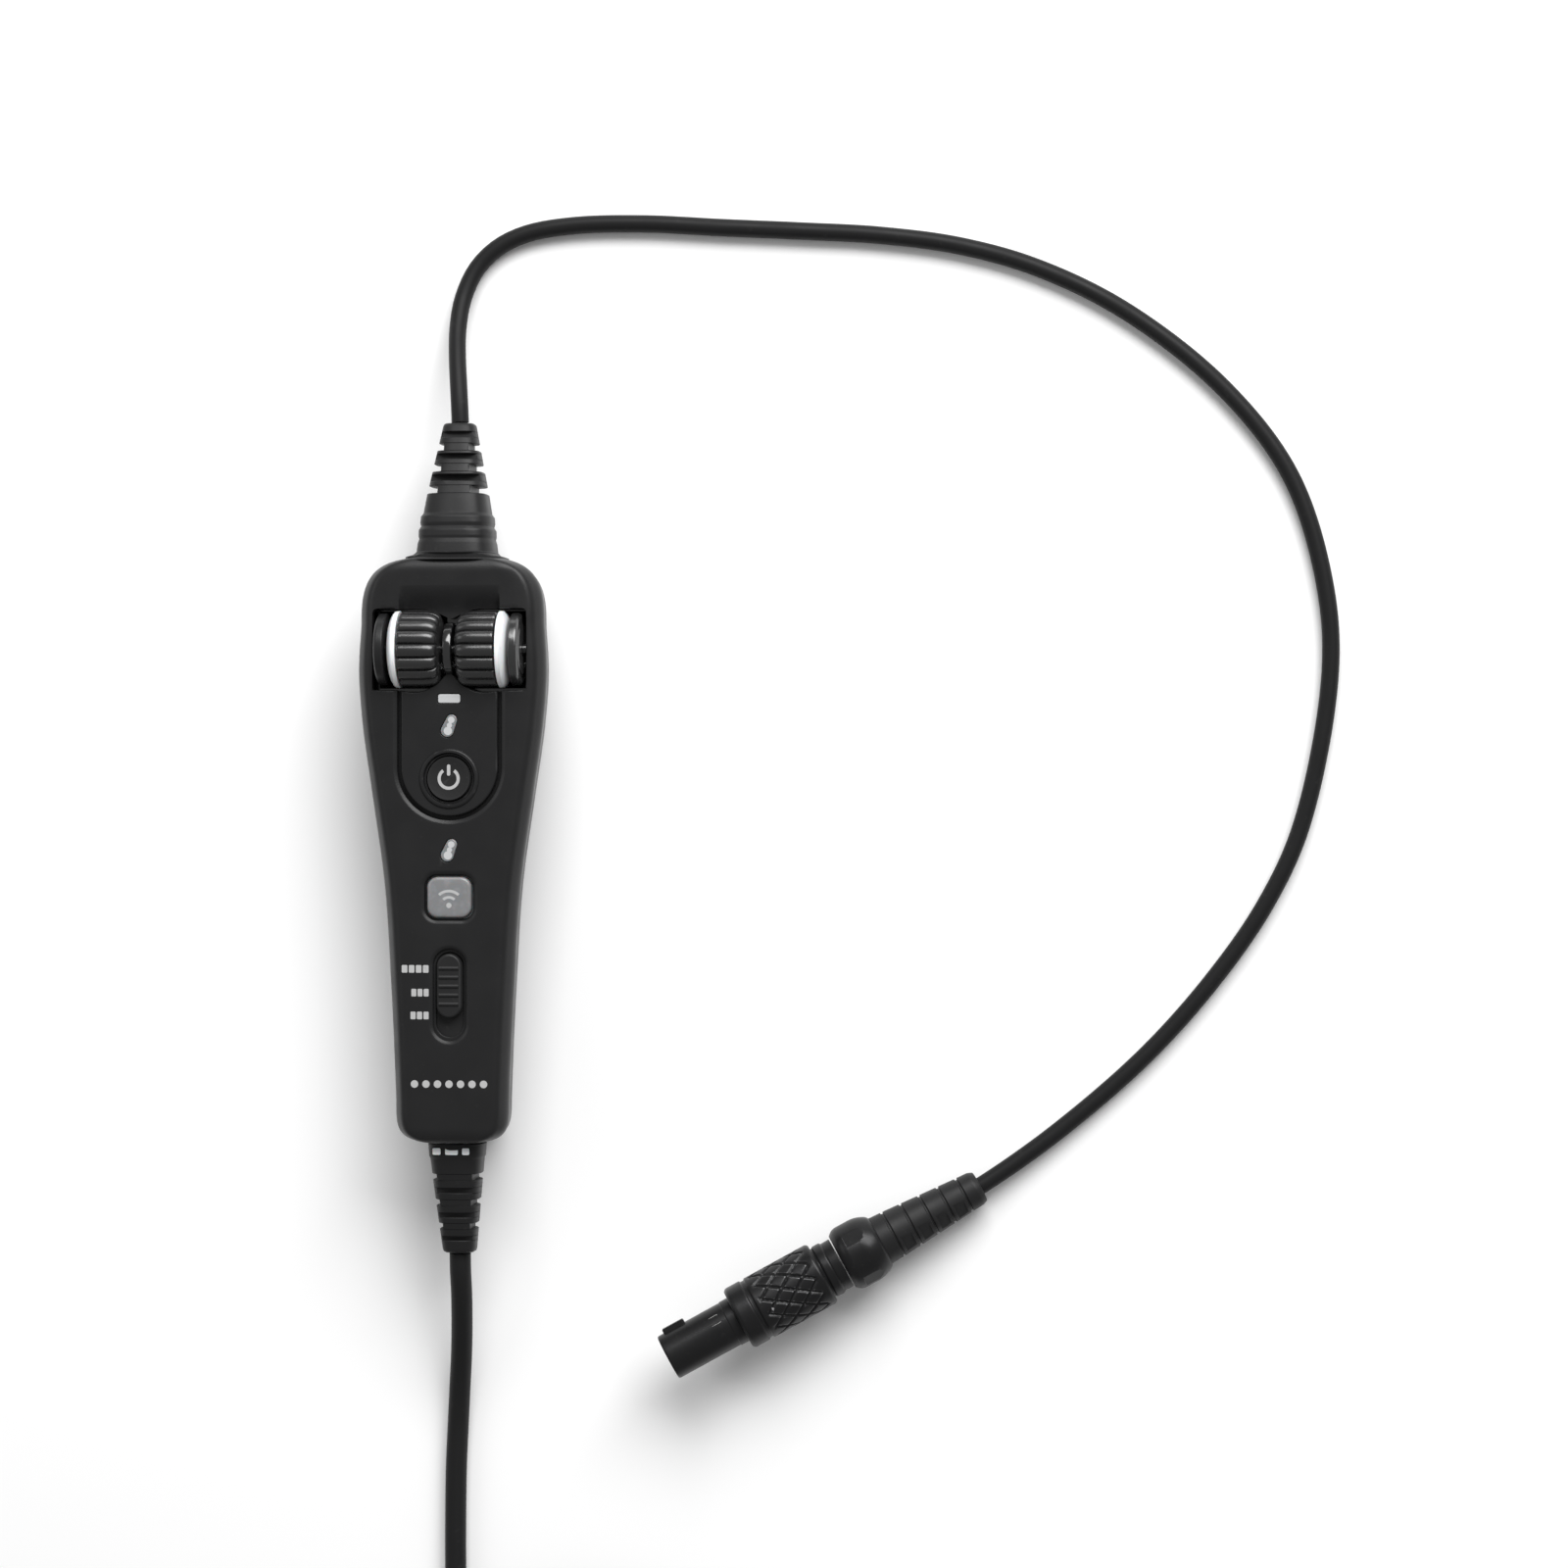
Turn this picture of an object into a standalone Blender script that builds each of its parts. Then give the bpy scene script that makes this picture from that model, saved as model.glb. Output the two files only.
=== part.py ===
"""In-line control module of an aviation headset, with its two cords and plugs.

The module lies on its back: +Z is up out of its control face, +Y runs along it towards the cord of the
round plug, and the origin is on the surface that it rests on, below the middle of the housing and boots.
Every length below is in millimetres; placing a piece in the scene turns it into metres.
"""

import math

import bmesh
import bpy
import numpy as np
from mathutils import Matrix, Vector

MM = 0.001
GAP = 0.3  # clearance between neighbouring pieces

# Housing
TOP_END = 63.2
BOTTOM_END = -68.3
FACE_Z = 29.0
PARTING_Z = 18.0
SIDE_WALL = 1.4
FRONT_WALL = 1.8
FACE_INSET = 2.3
RIM_DROP = 3.0
BELLY_INSET = 1.9
BELLY_Z = 9.0
BACK_INSET = 5.9
SCOOP_DEPTH = 3.4
SCOOP_TOP = (5.1, 7.1)  # the step up from the scoop, beside the battery door's lower end
SCOOP_BOTTOM = (-54.0, -45.0)
HALF_WIDTHS = ((-59, 12.95), (-32, 14.15), (-10, 15.6), (10, 18.4), (26, 20.65), (38, 21.45), (48, 20.9))

# Volume wheels
WHEEL_Y = 42.3
WHEEL_Z = 26.9
WHEEL_RADIUS = 8.65
WHEEL_INNER_X = 2.0
WHEEL_OUTER_X = 10.9
WHEEL_RIBS = 16
RIB_DEPTH = 0.7
CAP_OUTER_X = 13.7
AXLE_RADIUS = 1.2
DRUM_RADIUS = 7.2
DRUM_X = (14.1, 16.3)
WINDOW_X = 17.4
WINDOW_Y = (33.2, 52.8)
CRADLE_X = 17.6
CRADLE_Z = (18.2, 26.9)

# Control face
GROOVE_OUTER = 12.3
GROOVE_INNER = 10.9
PANEL_CENTRE_Y = 15.9
PANEL_TOP_Y = 33.0
PANEL_FLANGE = 14.0
CUSP_Y = 37.5
POWER_Y = 13.4
POWER_RADIUS = 5.0
WIRELESS_Y = -13.1
WIRELESS_SIZE = (10.0, 9.1)
WELL_SIZE = 12.7
SLOT_Y = -34.9
SLOT_SIZE = (6.2, 19.0)
SLOT_WELL = (8.4, 22.0)
KNOB_LENGTH = 14.4
BAR_Y = 31.4
POWER_LIGHT_Y = 25.2
WIRELESS_LIGHT_Y = -2.6

# Inside
BOARD_Z = (19.4, 20.6)
SCREW_SPOTS = ((-7.0, -21.5, 3.4), (7.0, -21.5, 3.4), (-6.0, -57.0, 0.0), (6.0, -57.0, 0.0))
POST_RADIUS = 2.3
CELL_RADIUS = 7.0
CELL_LENGTH = 49.5
CELL_X = 7.3
CELL_Z = 9.4
CELL_Y = (8.2, 57.7)
DOOR_X = 13.0
DOOR_Y = (5.1, 56.0)

# Cords and boots
BOOT_Z = 18.0
BOOT_DROOP = 3.4
BOOT_TIP = 93.8
PLUG_CORD_RADIUS = 2.0
HEADSET_CORD_RADIUS = 2.45
PLUG_TAIL = (117.4, -79.0, 3.95)
PLUG_HEADING = math.radians(208.7)
PLUG_PITCH = math.radians(7.8)
KEY_TURN = math.radians(180)
COIL_CENTRE = (28.6, -207.0)
COIL_RADIUS = 26.5
COIL_LIFT = 0.6

# The plug's cord, from the top boot's tip to the plug's tail.
PLUG_CORD_ROUTE = (
    (0, 94.2, 14.6), (-0.2, 98, 14.3), (-0.7, 103, 12.8), (-1.5, 109.5, 9.8), (-2, 116.5, 6.2), (-1.3, 123.5, 3.6),
    (1.6, 130.5, 2.3), (6.3, 135.3, 2.05), (13, 138.5, 2.05), (24, 140.3, 2.05), (40.5, 140.5, 2.05),
    (58.5, 139.4, 2.05), (76.5, 138.4, 2.05), (94.5, 137.2, 2.05), (112.5, 134.6, 2.05),
    (130, 129.5, 2.05), (150, 119.5, 2.05), (172, 102, 2.05), (187, 82.5, 2.05), (194.5, 60, 2.05),
    (196.3, 38.5, 2.05), (190, 3.5, 2.05), (182, -14.5, 2.05), (170, -32, 2.05), (154.5, -49.5, 2.1),
    (134, -67.3, 2.6), (117.7, -78.8, 3.95),
)
# The headset's cord, from the bottom boot's tip to its coil, and from the coil to its connector.
HEADSET_CORD_ROUTE = (
    (0, -94.2, 14.6), (0, -98, 14.3), (0, -103, 12.9), (-0.4, -110, 10), (-1.1, -118, 6.6), (-1.9, -126, 4.1),
    (-2.5, -134, 2.8), (-3.0, -144, 2.5), (-3.2, -157, 2.5), (-3.1, -172, 2.75), (-2.8, -188, 3.05),
)
CONNECTOR_TAIL = (71.0, -238.0, 4.5)

MODULE = "control_module"


# ---------------------------------------------------------------- scene, materials and mesh helpers

def clear_scene():
    for old in list(bpy.data.objects):
        bpy.data.objects.remove(old, do_unlink=True)
    for old in list(bpy.data.meshes):
        bpy.data.meshes.remove(old)


def new_collection(name):
    collection = bpy.data.collections.new(name)
    bpy.context.scene.collection.children.link(collection)
    return collection


def new_material(name, colour, roughness, metallic=0.0):
    material = bpy.data.materials.new(name)
    material.use_nodes = True
    shader = material.node_tree.nodes["Principled BSDF"]
    shader.inputs["Base Color"].default_value = (*colour, 1.0)
    shader.inputs["Roughness"].default_value = roughness
    shader.inputs["Metallic"].default_value = metallic
    material.diffuse_color = (*colour, 1.0)
    return material


def place(bm, name, material, transform=None):
    """Turns a bmesh in millimetres into an object in metres."""
    if transform is not None:
        bmesh.ops.transform(bm, matrix=transform, verts=bm.verts)
    bmesh.ops.scale(bm, vec=(MM, MM, MM), verts=bm.verts)
    bmesh.ops.recalc_face_normals(bm, faces=bm.faces)
    mesh = bpy.data.meshes.new(name)
    bm.to_mesh(mesh)
    bm.free()
    mesh.materials.append(material)
    mesh.shade_smooth()
    mesh.set_sharp_from_angle(angle=math.radians(35))
    made = bpy.data.objects.new(name, mesh)
    PARTS.objects.link(made)
    return made


def box(name, low, high, material):
    bm = bmesh.new()
    size = Vector(high) - Vector(low)
    middle = (Vector(high) + Vector(low)) / 2
    bmesh.ops.create_cube(bm, size=1.0, matrix=Matrix.Translation(middle) @ Matrix.Diagonal((*size, 1.0)))
    return place(bm, name, material)


def slab(name, outline, low, high, material):
    """A flat outline in XY made solid between two heights."""
    bm = bmesh.new()
    face = bm.faces.new([bm.verts.new((x, y, low)) for x, y in outline])
    grown = bmesh.ops.extrude_face_region(bm, geom=[face])
    lifted = [item for item in grown["geom"] if isinstance(item, bmesh.types.BMVert)]
    bmesh.ops.translate(bm, vec=(0, 0, high - low), verts=lifted)
    return place(bm, name, material)


def rod(name, start, end, radius, material, sides=16):
    """A straight round rod between two points."""
    bm = bmesh.new()
    run = Vector(end) - Vector(start)
    turn = run.to_track_quat("Z", "Y").to_matrix().to_4x4()
    bmesh.ops.create_cone(bm, cap_ends=True, segments=sides, radius1=radius, radius2=radius, depth=run.length)
    return place(bm, name, material, Matrix.Translation((Vector(start) + Vector(end)) / 2) @ turn)


def turned(name, profile, material, frame=None, steps=24, closed=False, reshape=None):
    """A profile of (radius, height) turned about the frame's own Z by a Screw modifier.

    The profile runs down its outer side, from the top to the bottom.
    """
    mesh = bpy.data.meshes.new(name)
    count = len(profile)
    edges = [(i, i + 1) for i in range(count - 1)]
    if closed:
        edges.append((count - 1, 0))
    mesh.from_pydata([(radius * MM, 0, height * MM) for radius, height in profile], edges, [])
    made = bpy.data.objects.new(name, mesh)
    PARTS.objects.link(made)
    screw = made.modifiers.new("turn", "SCREW")
    screw.steps = steps
    screw.render_steps = steps
    screw.use_merge_vertices = True
    screw.merge_threshold = 0.00001
    screw.use_smooth_shade = True
    settle(made)
    if frame is not None:
        made.data.transform(Matrix.Scale(MM, 4) @ frame @ Matrix.Scale(1 / MM, 4))
    if reshape is not None:
        for vertex in made.data.vertices:
            vertex.co = Vector(reshape(vertex.co / MM)) * MM
    made.data.materials.append(material)
    made.data.set_sharp_from_angle(angle=math.radians(35))
    return made


def loft(name, rings, material):
    """A closed skin through rings that all have the same number of points."""
    bm = bmesh.new()
    rows = [[bm.verts.new(point) for point in ring] for ring in rings]
    count = len(rows[0])
    for row, after in zip(rows, rows[1:]):
        for i in range(count):
            j = (i + 1) % count
            bm.faces.new((row[i], row[j], after[j], after[i]))
    bm.faces.new(rows[0])
    bm.faces.new(rows[-1])
    return place(bm, name, material)


def settle(made):
    """Replaces an object's mesh with what its modifiers make of it."""
    bpy.context.view_layer.update()
    graph = bpy.context.evaluated_depsgraph_get()
    mesh = bpy.data.meshes.new_from_object(made.evaluated_get(graph))
    old = made.data
    made.modifiers.clear()
    made.data = mesh
    bpy.data.meshes.remove(old)
    mesh.name = made.name


def combine(target, tools, operation, solver):
    """Cuts, joins or trims the target with each tool in turn, and removes the tools."""
    for tool in tools:
        modifier = target.modifiers.new(operation, "BOOLEAN")
        modifier.operation = operation
        modifier.solver = solver
        modifier.object = tool
        settle(target)
        bpy.data.objects.remove(tool, do_unlink=True)
    weld = target.modifiers.new("weld", "WELD")
    weld.merge_threshold = 0.000002
    settle(target)
    target.data.set_sharp_from_angle(angle=math.radians(35))
    return target


def cut(target, *tools, solver="EXACT"):
    return combine(target, tools, "DIFFERENCE", solver)


def join(target, *tools, solver="EXACT"):
    return combine(target, tools, "UNION", solver)


def trim(target, *tools, solver="EXACT"):
    return combine(target, tools, "INTERSECT", solver)


def cord(name, points, radius, material, sides=2):
    """A round cord along points, with flat closed ends."""
    curve = bpy.data.curves.new(name, "CURVE")
    curve.dimensions = "3D"
    curve.bevel_depth = radius * MM
    curve.bevel_resolution = sides
    curve.use_fill_caps = True
    spline = curve.splines.new("POLY")
    spline.points.add(len(points) - 1)
    for target, point in zip(spline.points, points):
        target.co = (*[value * MM for value in point], 1.0)
    curve.materials.append(material)
    made = bpy.data.objects.new(name, curve)
    PARTS.objects.link(made)
    return made


# ---------------------------------------------------------------- curves and outlines

def smooth(points, spacing):
    """Points along a smooth curve through the given ones, about one spacing apart."""
    knots = np.array(points, float)
    ends = np.vstack([2 * knots[0] - knots[1], knots, 2 * knots[-1] - knots[-2]])
    steps = np.sqrt(np.linalg.norm(np.diff(ends, axis=0), axis=1))
    dense = []
    for i in range(1, len(ends) - 2):
        before, step, after = steps[i - 1], steps[i], steps[i + 1]
        slope_in = (ends[i] - ends[i - 1]) / before - (ends[i + 1] - ends[i - 1]) / (before + step)
        slope_in = step * (slope_in + (ends[i + 1] - ends[i]) / step)
        slope_out = (ends[i + 1] - ends[i]) / step - (ends[i + 2] - ends[i]) / (step + after)
        slope_out = step * (slope_out + (ends[i + 2] - ends[i + 1]) / after)
        for t in np.linspace(0, 1, 24, endpoint=False):
            dense.append(
                (2 * t**3 - 3 * t**2 + 1) * ends[i] + (t**3 - 2 * t**2 + t) * slope_in
                + (-2 * t**3 + 3 * t**2) * ends[i + 1] + (t**3 - t**2) * slope_out
            )
    dense = np.array([*dense, knots[-1]])
    along = np.concatenate([[0], np.cumsum(np.linalg.norm(np.diff(dense, axis=0), axis=1))])
    wanted = np.linspace(0, along[-1], max(3, round(along[-1] / spacing) + 1))
    return [tuple(np.interp(wanted, along, dense[:, axis])[i] for axis in range(3)) for i in range(len(wanted))]


def arc(centre, radius, start, end, count):
    angles = np.radians(np.linspace(start, end, count))
    return [(centre[0] + radius * math.cos(a), centre[1] + radius * math.sin(a)) for a in angles]


def stadium(centre, size, count=7):
    """A slot outline with round ends, longer along Y."""
    radius = size[0] / 2
    reach = size[1] / 2 - radius
    upper = arc((centre[0], centre[1] + reach), radius, 0, 180, count)
    lower = arc((centre[0], centre[1] - reach), radius, 180, 360, count)
    return upper + lower


def round_square(centre, size, radius, count=4):
    outline = []
    for quarter, (sx, sy) in enumerate(((1, 1), (-1, 1), (-1, -1), (1, -1))):
        corner = (centre[0] + sx * (size[0] / 2 - radius), centre[1] + sy * (size[1] / 2 - radius))
        outline += arc(corner, radius, 90 * quarter, 90 * quarter + 90, count)
    return outline


def drop_pair(centre, grow, count=7):
    """The outline round a small disc above and to the right of a larger one."""
    upper = (centre[0] + 0.55, centre[1] + 1.3)
    lower = (centre[0] - 0.45, centre[1] - 1.1)
    lean = math.degrees(math.atan2(upper[1] - lower[1], upper[0] - lower[0]))
    return (arc(upper, 0.95 + grow, lean - 90, lean + 90, count)
            + arc(lower, 1.2 + grow, lean + 90, lean + 270, count))


def panel_outline(half_width, grow_bottom, top_y, cusp_y=None):
    """A U shape: straight sides and a half-round bottom, open upwards, with a cusp in its top edge."""
    outline = arc((0, PANEL_CENTRE_Y), half_width + grow_bottom, 180, 360, 15)
    outline += [(half_width, top_y)]
    if cusp_y is not None:
        outline += [(5.4, top_y + 0.1), (3.0, top_y + 1.6), (0, cusp_y), (-3.0, top_y + 1.6), (-5.4, top_y + 0.1)]
    return outline + [(-half_width, top_y)]


# ---------------------------------------------------------------- housing shape

def half_width(y):
    """The housing's widest half-width at a station along it."""
    stations, widths = np.array(HALF_WIDTHS, float).T
    slopes = np.gradient(widths, stations)
    slopes[0] = slopes[1] * 0.6
    if y <= stations[0]:
        width = widths[0]
    elif y >= stations[-1]:
        width = widths[-1]
    else:
        i = int(np.searchsorted(stations, y)) - 1
        span = stations[i + 1] - stations[i]
        t = (y - stations[i]) / span
        width = ((2 * t**3 - 3 * t**2 + 1) * widths[i] + (t**3 - 2 * t**2 + t) * span * slopes[i]
                 + (-2 * t**3 + 3 * t**2) * widths[i + 1] + (t**3 - t**2) * span * slopes[i + 1])
    near_top = max(0.0, (y - stations[-1]) / (TOP_END - stations[-1]))
    near_bottom = max(0.0, (stations[0] - y) / (stations[0] - BOTTOM_END))
    return width * max(0.0, 1 - near_top**3) ** 0.25 * max(0.0, 1 - near_bottom**4) ** 0.25


def end_rounding(y, reach=3.5):
    """0 along the housing, rising to 1 where its end turns over."""
    room = min(TOP_END - y, y - BOTTOM_END)
    depth = min(1.0, max(0.0, 1 - room / reach))
    return 1 - math.sqrt(1 - depth**2)


def ease(value, start, end):
    t = min(1.0, max(0.0, (value - start) / (end - start)))
    return t * t * (3 - 2 * t)


def back_z(y, scooped):
    """The height of the back: a finger scoop runs from the battery door to the lower end."""
    if not scooped:
        return 0.0
    return SCOOP_DEPTH * (1 - ease(y, *SCOOP_TOP)) * ease(y, *SCOOP_BOTTOM)


def corner_points(before, corner, after, size, count=3):
    """A corner rounded off with a short curve."""
    before, corner, after = (np.array(point, float) for point in (before, corner, after))
    start = corner + (before - corner) * size / np.linalg.norm(before - corner)
    end = corner + (after - corner) * size / np.linalg.norm(after - corner)
    steps = np.linspace(0, 1, count)
    return [tuple((1 - t) ** 2 * start + 2 * t * (1 - t) * corner + t**2 * end) for t in steps]


def housing_section(y, side, front, back, scooped):
    """The housing's outline across X and Z at one station, moved inwards by three wall thicknesses."""
    width = half_width(y)
    scale = min(1.0, width / 12.5)
    rounding = end_rounding(y)
    top = FACE_Z - 2.4 * rounding - front
    bottom = back_z(y, scooped) + 4.5 * rounding + back
    width -= side
    right = [
        (0, top),
        (width - FACE_INSET * scale, top),
        (width, top - RIM_DROP + front / 2),
        (width - BELLY_INSET * scale, BELLY_Z),
        (width - BACK_INSET * scale, bottom),
        (0, bottom),
    ]
    sizes = (0.9, 1.6, 2.5, 3.2 * scale)
    points = []
    for i, size in enumerate(sizes, start=1):
        points += corner_points(right[i - 1], right[i], right[i + 1], size)
    ring = [(x, z) for x, z in points] + [(-x, z) for x, z in reversed(points)]
    return ring


def housing_loft(name, side=0.0, front=0.0, back=0.0, scooped=True, material=None):
    """The housing as one closed skin, inset by wall thicknesses where they are given."""
    stations = [-68.25, -67.6, -65.8, -62.0, -54, -49.5, -45, -28, -10, 5.1, 6.1, 7.1, 18, 30, 40, 49, 55, 59,
                61.4, 62.6, 63.1]
    middle = (TOP_END + BOTTOM_END) / 2
    shrink = 1 - side / (TOP_END - middle)
    rings = []
    for y in stations:
        ring = housing_section(y, side, front, back, scooped)
        rings.append([(x, middle + (y - middle) * shrink, z) for x, z in ring])
    return loft(name, rings, material)


def housing_shell(name, low_z, high_z, material):
    """The hollow housing between two heights. The exact solver loses this skin, so it takes the manifold one."""
    shell = housing_loft(name, material=material)
    hollow = housing_loft("hollow", SIDE_WALL, FRONT_WALL, SIDE_WALL, material=material)
    cut(shell, hollow, solver="MANIFOLD")
    return trim(shell, box("part", (-40, -90, low_z), (40, 90, high_z), material), solver="MANIFOLD")


# ---------------------------------------------------------------- housing pieces

def boot_holes(material):
    return [rod(f"boot_hole_{i}", (0, y, BOOT_Z), (0, y + 8, BOOT_Z), 4.3, material)
            for i, y in enumerate((TOP_END - 6, BOTTOM_END - 2))]


def front_case():
    made = housing_shell("front_case", PARTING_Z + GAP / 2, 40, BLACK)
    posts = [rod(f"post_{i}", (x, y, PARTING_Z + GAP / 2), (x, y, FACE_Z - 0.9), POST_RADIUS, BLACK, 12)
             for i, (x, y, _) in enumerate(SCREW_SPOTS)]
    join(made, *posts, solver="MANIFOLD")
    window = box("window", (-WINDOW_X, WINDOW_Y[0], 20), (WINDOW_X, WINDOW_Y[1], 40), BLACK)
    groove = slab("groove", panel_outline(GROOVE_OUTER, 0, WINDOW_Y[0] + 0.5), 20, 40, BLACK)
    well = slab("well", round_square((0, WIRELESS_Y), (WELL_SIZE, WELL_SIZE), 3.2), FACE_Z - 1.0, 40, BLACK)
    hole = slab("hole", round_square((0, WIRELESS_Y), [side + 2 * GAP for side in WIRELESS_SIZE], 2.4),
                20, 40, BLACK)
    slot_well = slab("slot_well", stadium((0, SLOT_Y), SLOT_WELL), FACE_Z - 0.9, 40, BLACK)
    slot = slab("slot", stadium((0, SLOT_Y), SLOT_SIZE), 20, 40, BLACK)
    light = slab("light", drop_pair((0, WIRELESS_LIGHT_Y), GAP), 20, 40, BLACK)
    threads = [rod(f"thread_{i}", (x, y, 10), (x, y, FACE_Z - 3.2), 1.3, BLACK, 10)
               for i, (x, y, _) in enumerate(SCREW_SPOTS)]
    return cut(made, window, groove, well, hole, slot_well, slot, light, *threads, *boot_holes(BLACK),
               solver="MANIFOLD")


def rear_case():
    made = housing_shell("rear_case", -5, PARTING_Z - GAP / 2, BLACK)
    posts = [rod(f"post_{i}", (x, y, floor + 0.8), (x, y, PARTING_Z - GAP / 2), POST_RADIUS + 0.5, BLACK, 12)
             for i, (x, y, floor) in enumerate(SCREW_SPOTS)]
    join(made, *posts, solver="MANIFOLD")
    opening = box("opening", (-DOOR_X - GAP, DOOR_Y[0], -5), (DOOR_X + GAP, DOOR_Y[1] + GAP, 4.4), BLACK)
    bores = [rod(f"bore_{i}", (x, y, -5), (x, y, 25), 1.3, BLACK, 10)
             for i, (x, y, _) in enumerate(SCREW_SPOTS)]
    heads = [rod(f"head_{i}", (x, y, -5), (x, y, floor + 2.4), 2.5, BLACK, 14)
             for i, (x, y, floor) in enumerate(SCREW_SPOTS)]
    return cut(made, opening, *bores, *heads, *boot_holes(BLACK), solver="MANIFOLD")


def battery_door():
    made = housing_loft("battery_door", 0.4, 0.4, 0.4, scooped=False, material=BLACK)
    hollow = housing_loft("hollow", 1.7, 1.7, 1.7, scooped=False, material=BLACK)
    cut(made, hollow, solver="MANIFOLD")
    blank = box("blank", (-DOOR_X, DOOR_Y[0] + GAP, -5), (DOOR_X, DOOR_Y[1], 3.0), BLACK)
    return trim(made, blank, solver="MANIFOLD")


def case_screws():
    profile = ((0, 1.3), (2.1, 1.3), (2.1, 0), (1.0, 0), (1.0, -14.5), (0, -15.2))
    for i, (x, y, floor) in enumerate(SCREW_SPOTS, start=1):
        down = Matrix.Translation((x, y, floor + 2.1)) @ Matrix.Rotation(math.pi, 4, "X")
        turned(f"case_screw_{i}", profile, STEEL, down, steps=12)


# ---------------------------------------------------------------- volume wheels

def wheel_radius(x):
    """The wheel is full size at its outer end and rounds down towards the hub between the two wheels."""
    t = min(1.0, max(0.0, (x - WHEEL_INNER_X) / (WHEEL_OUTER_X - WHEEL_INNER_X)))
    return WHEEL_RADIUS - 2.3 * (1 - t) ** 2.6


def ribbed_ring(x, side):
    """One ring of a knurled wheel: each rib has a flat crest and a narrow valley."""
    ring = []
    for rib in range(WHEEL_RIBS):
        for part, drop in ((0.14, 0), (0.5, 0), (0.66, RIB_DEPTH), (0.98, RIB_DEPTH)):
            angle = 2 * math.pi * (rib + part) / WHEEL_RIBS
            radius = wheel_radius(x) - drop
            ring.append((side * x, WHEEL_Y + radius * math.cos(angle), WHEEL_Z + radius * math.sin(angle)))
    return ring


def volume_wheel(name, side):
    rings = [ribbed_ring(x, side) for x in (WHEEL_INNER_X, 3.0, 4.6, 7.0, WHEEL_OUTER_X)]
    made = loft(name, rings, RUBBER)
    bore = rod("bore", (-30, WHEEL_Y, WHEEL_Z), (30, WHEEL_Y, WHEEL_Z), AXLE_RADIUS + GAP, RUBBER, 16)
    return cut(made, bore)


def about_axle(side):
    """A frame whose Z runs outwards along the wheels' axle."""
    return Matrix.Translation((0, WHEEL_Y, WHEEL_Z)) @ Matrix.Rotation(side * math.pi / 2, 4, "Y")


def wheel_cap(name, side):
    inner = WHEEL_OUTER_X + GAP
    bore = AXLE_RADIUS + GAP
    profile = ((bore, CAP_OUTER_X), (5.0, CAP_OUTER_X - 0.1), (7.4, CAP_OUTER_X - 0.6),
               (WHEEL_RADIUS, CAP_OUTER_X - 1.5), (WHEEL_RADIUS, inner), (bore, inner))
    return turned(name, profile, WHITE, about_axle(side), steps=28, closed=True)


def volume_pot(name, side):
    low, high = DRUM_X
    bore = AXLE_RADIUS + GAP
    profile = ((bore, high), (DRUM_RADIUS - 0.5, high), (DRUM_RADIUS, high - 0.5), (DRUM_RADIUS, low), (bore, low))
    return turned(name, profile, GLOSS, about_axle(side), steps=24, closed=True)


def wheel_cradle():
    made = box("wheel_cradle", (-CRADLE_X, WHEEL_Y - 10.3, CRADLE_Z[0]), (CRADLE_X, WHEEL_Y + 10.3, CRADLE_Z[1]),
               BLACK)
    trim(made, housing_loft("room", 1.8, 2.1, 1.8, material=BLACK), solver="MANIFOLD")
    reach = WHEEL_RADIUS + 0.45
    pockets = [box(f"pocket_{side}", (min(side * 1.2, side * 16.6), WHEEL_Y - reach, 10),
                   (max(side * 1.2, side * 16.6), WHEEL_Y + reach, 40), BLACK) for side in (-1, 1)]
    bore = rod("bore", (-30, WHEEL_Y, WHEEL_Z), (30, WHEEL_Y, WHEEL_Z), AXLE_RADIUS + GAP, BLACK, 16)
    return cut(made, *pockets, bore)


def volume_wheels():
    for word, side in (("left", -1), ("right", 1)):
        volume_wheel(f"wheel_{word}", side)
        wheel_cap(f"wheel_cap_{word}", side)
        volume_pot(f"volume_pot_{word}", side)
    rod("wheel_axle", (-17.3, WHEEL_Y, WHEEL_Z), (17.3, WHEEL_Y, WHEEL_Z), AXLE_RADIUS, STEEL, 14)
    wheel_cradle()


# ---------------------------------------------------------------- control face

def control_panel():
    made = slab("control_panel", panel_outline(GROOVE_INNER, 0, PANEL_TOP_Y, CUSP_Y), 26.6, FACE_Z, BLACK)
    flange = slab("flange", panel_outline(PANEL_FLANGE, 0, 31.5), 25.4, 26.9, BLACK)
    rim = rod("rim", (0, POWER_Y, 27), (0, POWER_Y, FACE_Z + 0.5), 6.5, BLACK, 28)
    made = join(made, flange, rim)
    under = box("under", (-20, 31.6, 20), (20, 45, 27.2), BLACK)
    well = rod("well", (0, POWER_Y, FACE_Z - 0.4), (0, POWER_Y, 40), 5.65, BLACK, 28)
    hole = rod("hole", (0, POWER_Y, 20), (0, POWER_Y, 40), POWER_RADIUS + GAP, BLACK, 24)
    bar = box("bar", (-3.0, BAR_Y - 1.45, 20), (3.0, BAR_Y + 1.45, 40), BLACK)
    light = slab("light", drop_pair((0, POWER_LIGHT_Y), GAP), 20, 40, BLACK)
    return cut(made, under, well, hole, bar, light)


def lights():
    box("status_bar_lens", (-2.7, BAR_Y - 1.15, 27.2), (2.7, BAR_Y + 1.15, FACE_Z + 0.05), WHITE)
    slab("power_light_lens", drop_pair((0, POWER_LIGHT_Y), 0), 25.2, FACE_Z + 0.05, WHITE)
    slab("wireless_light_lens", drop_pair((0, WIRELESS_LIGHT_Y), 0), 25.2, FACE_Z + 0.05, WHITE)


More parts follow.
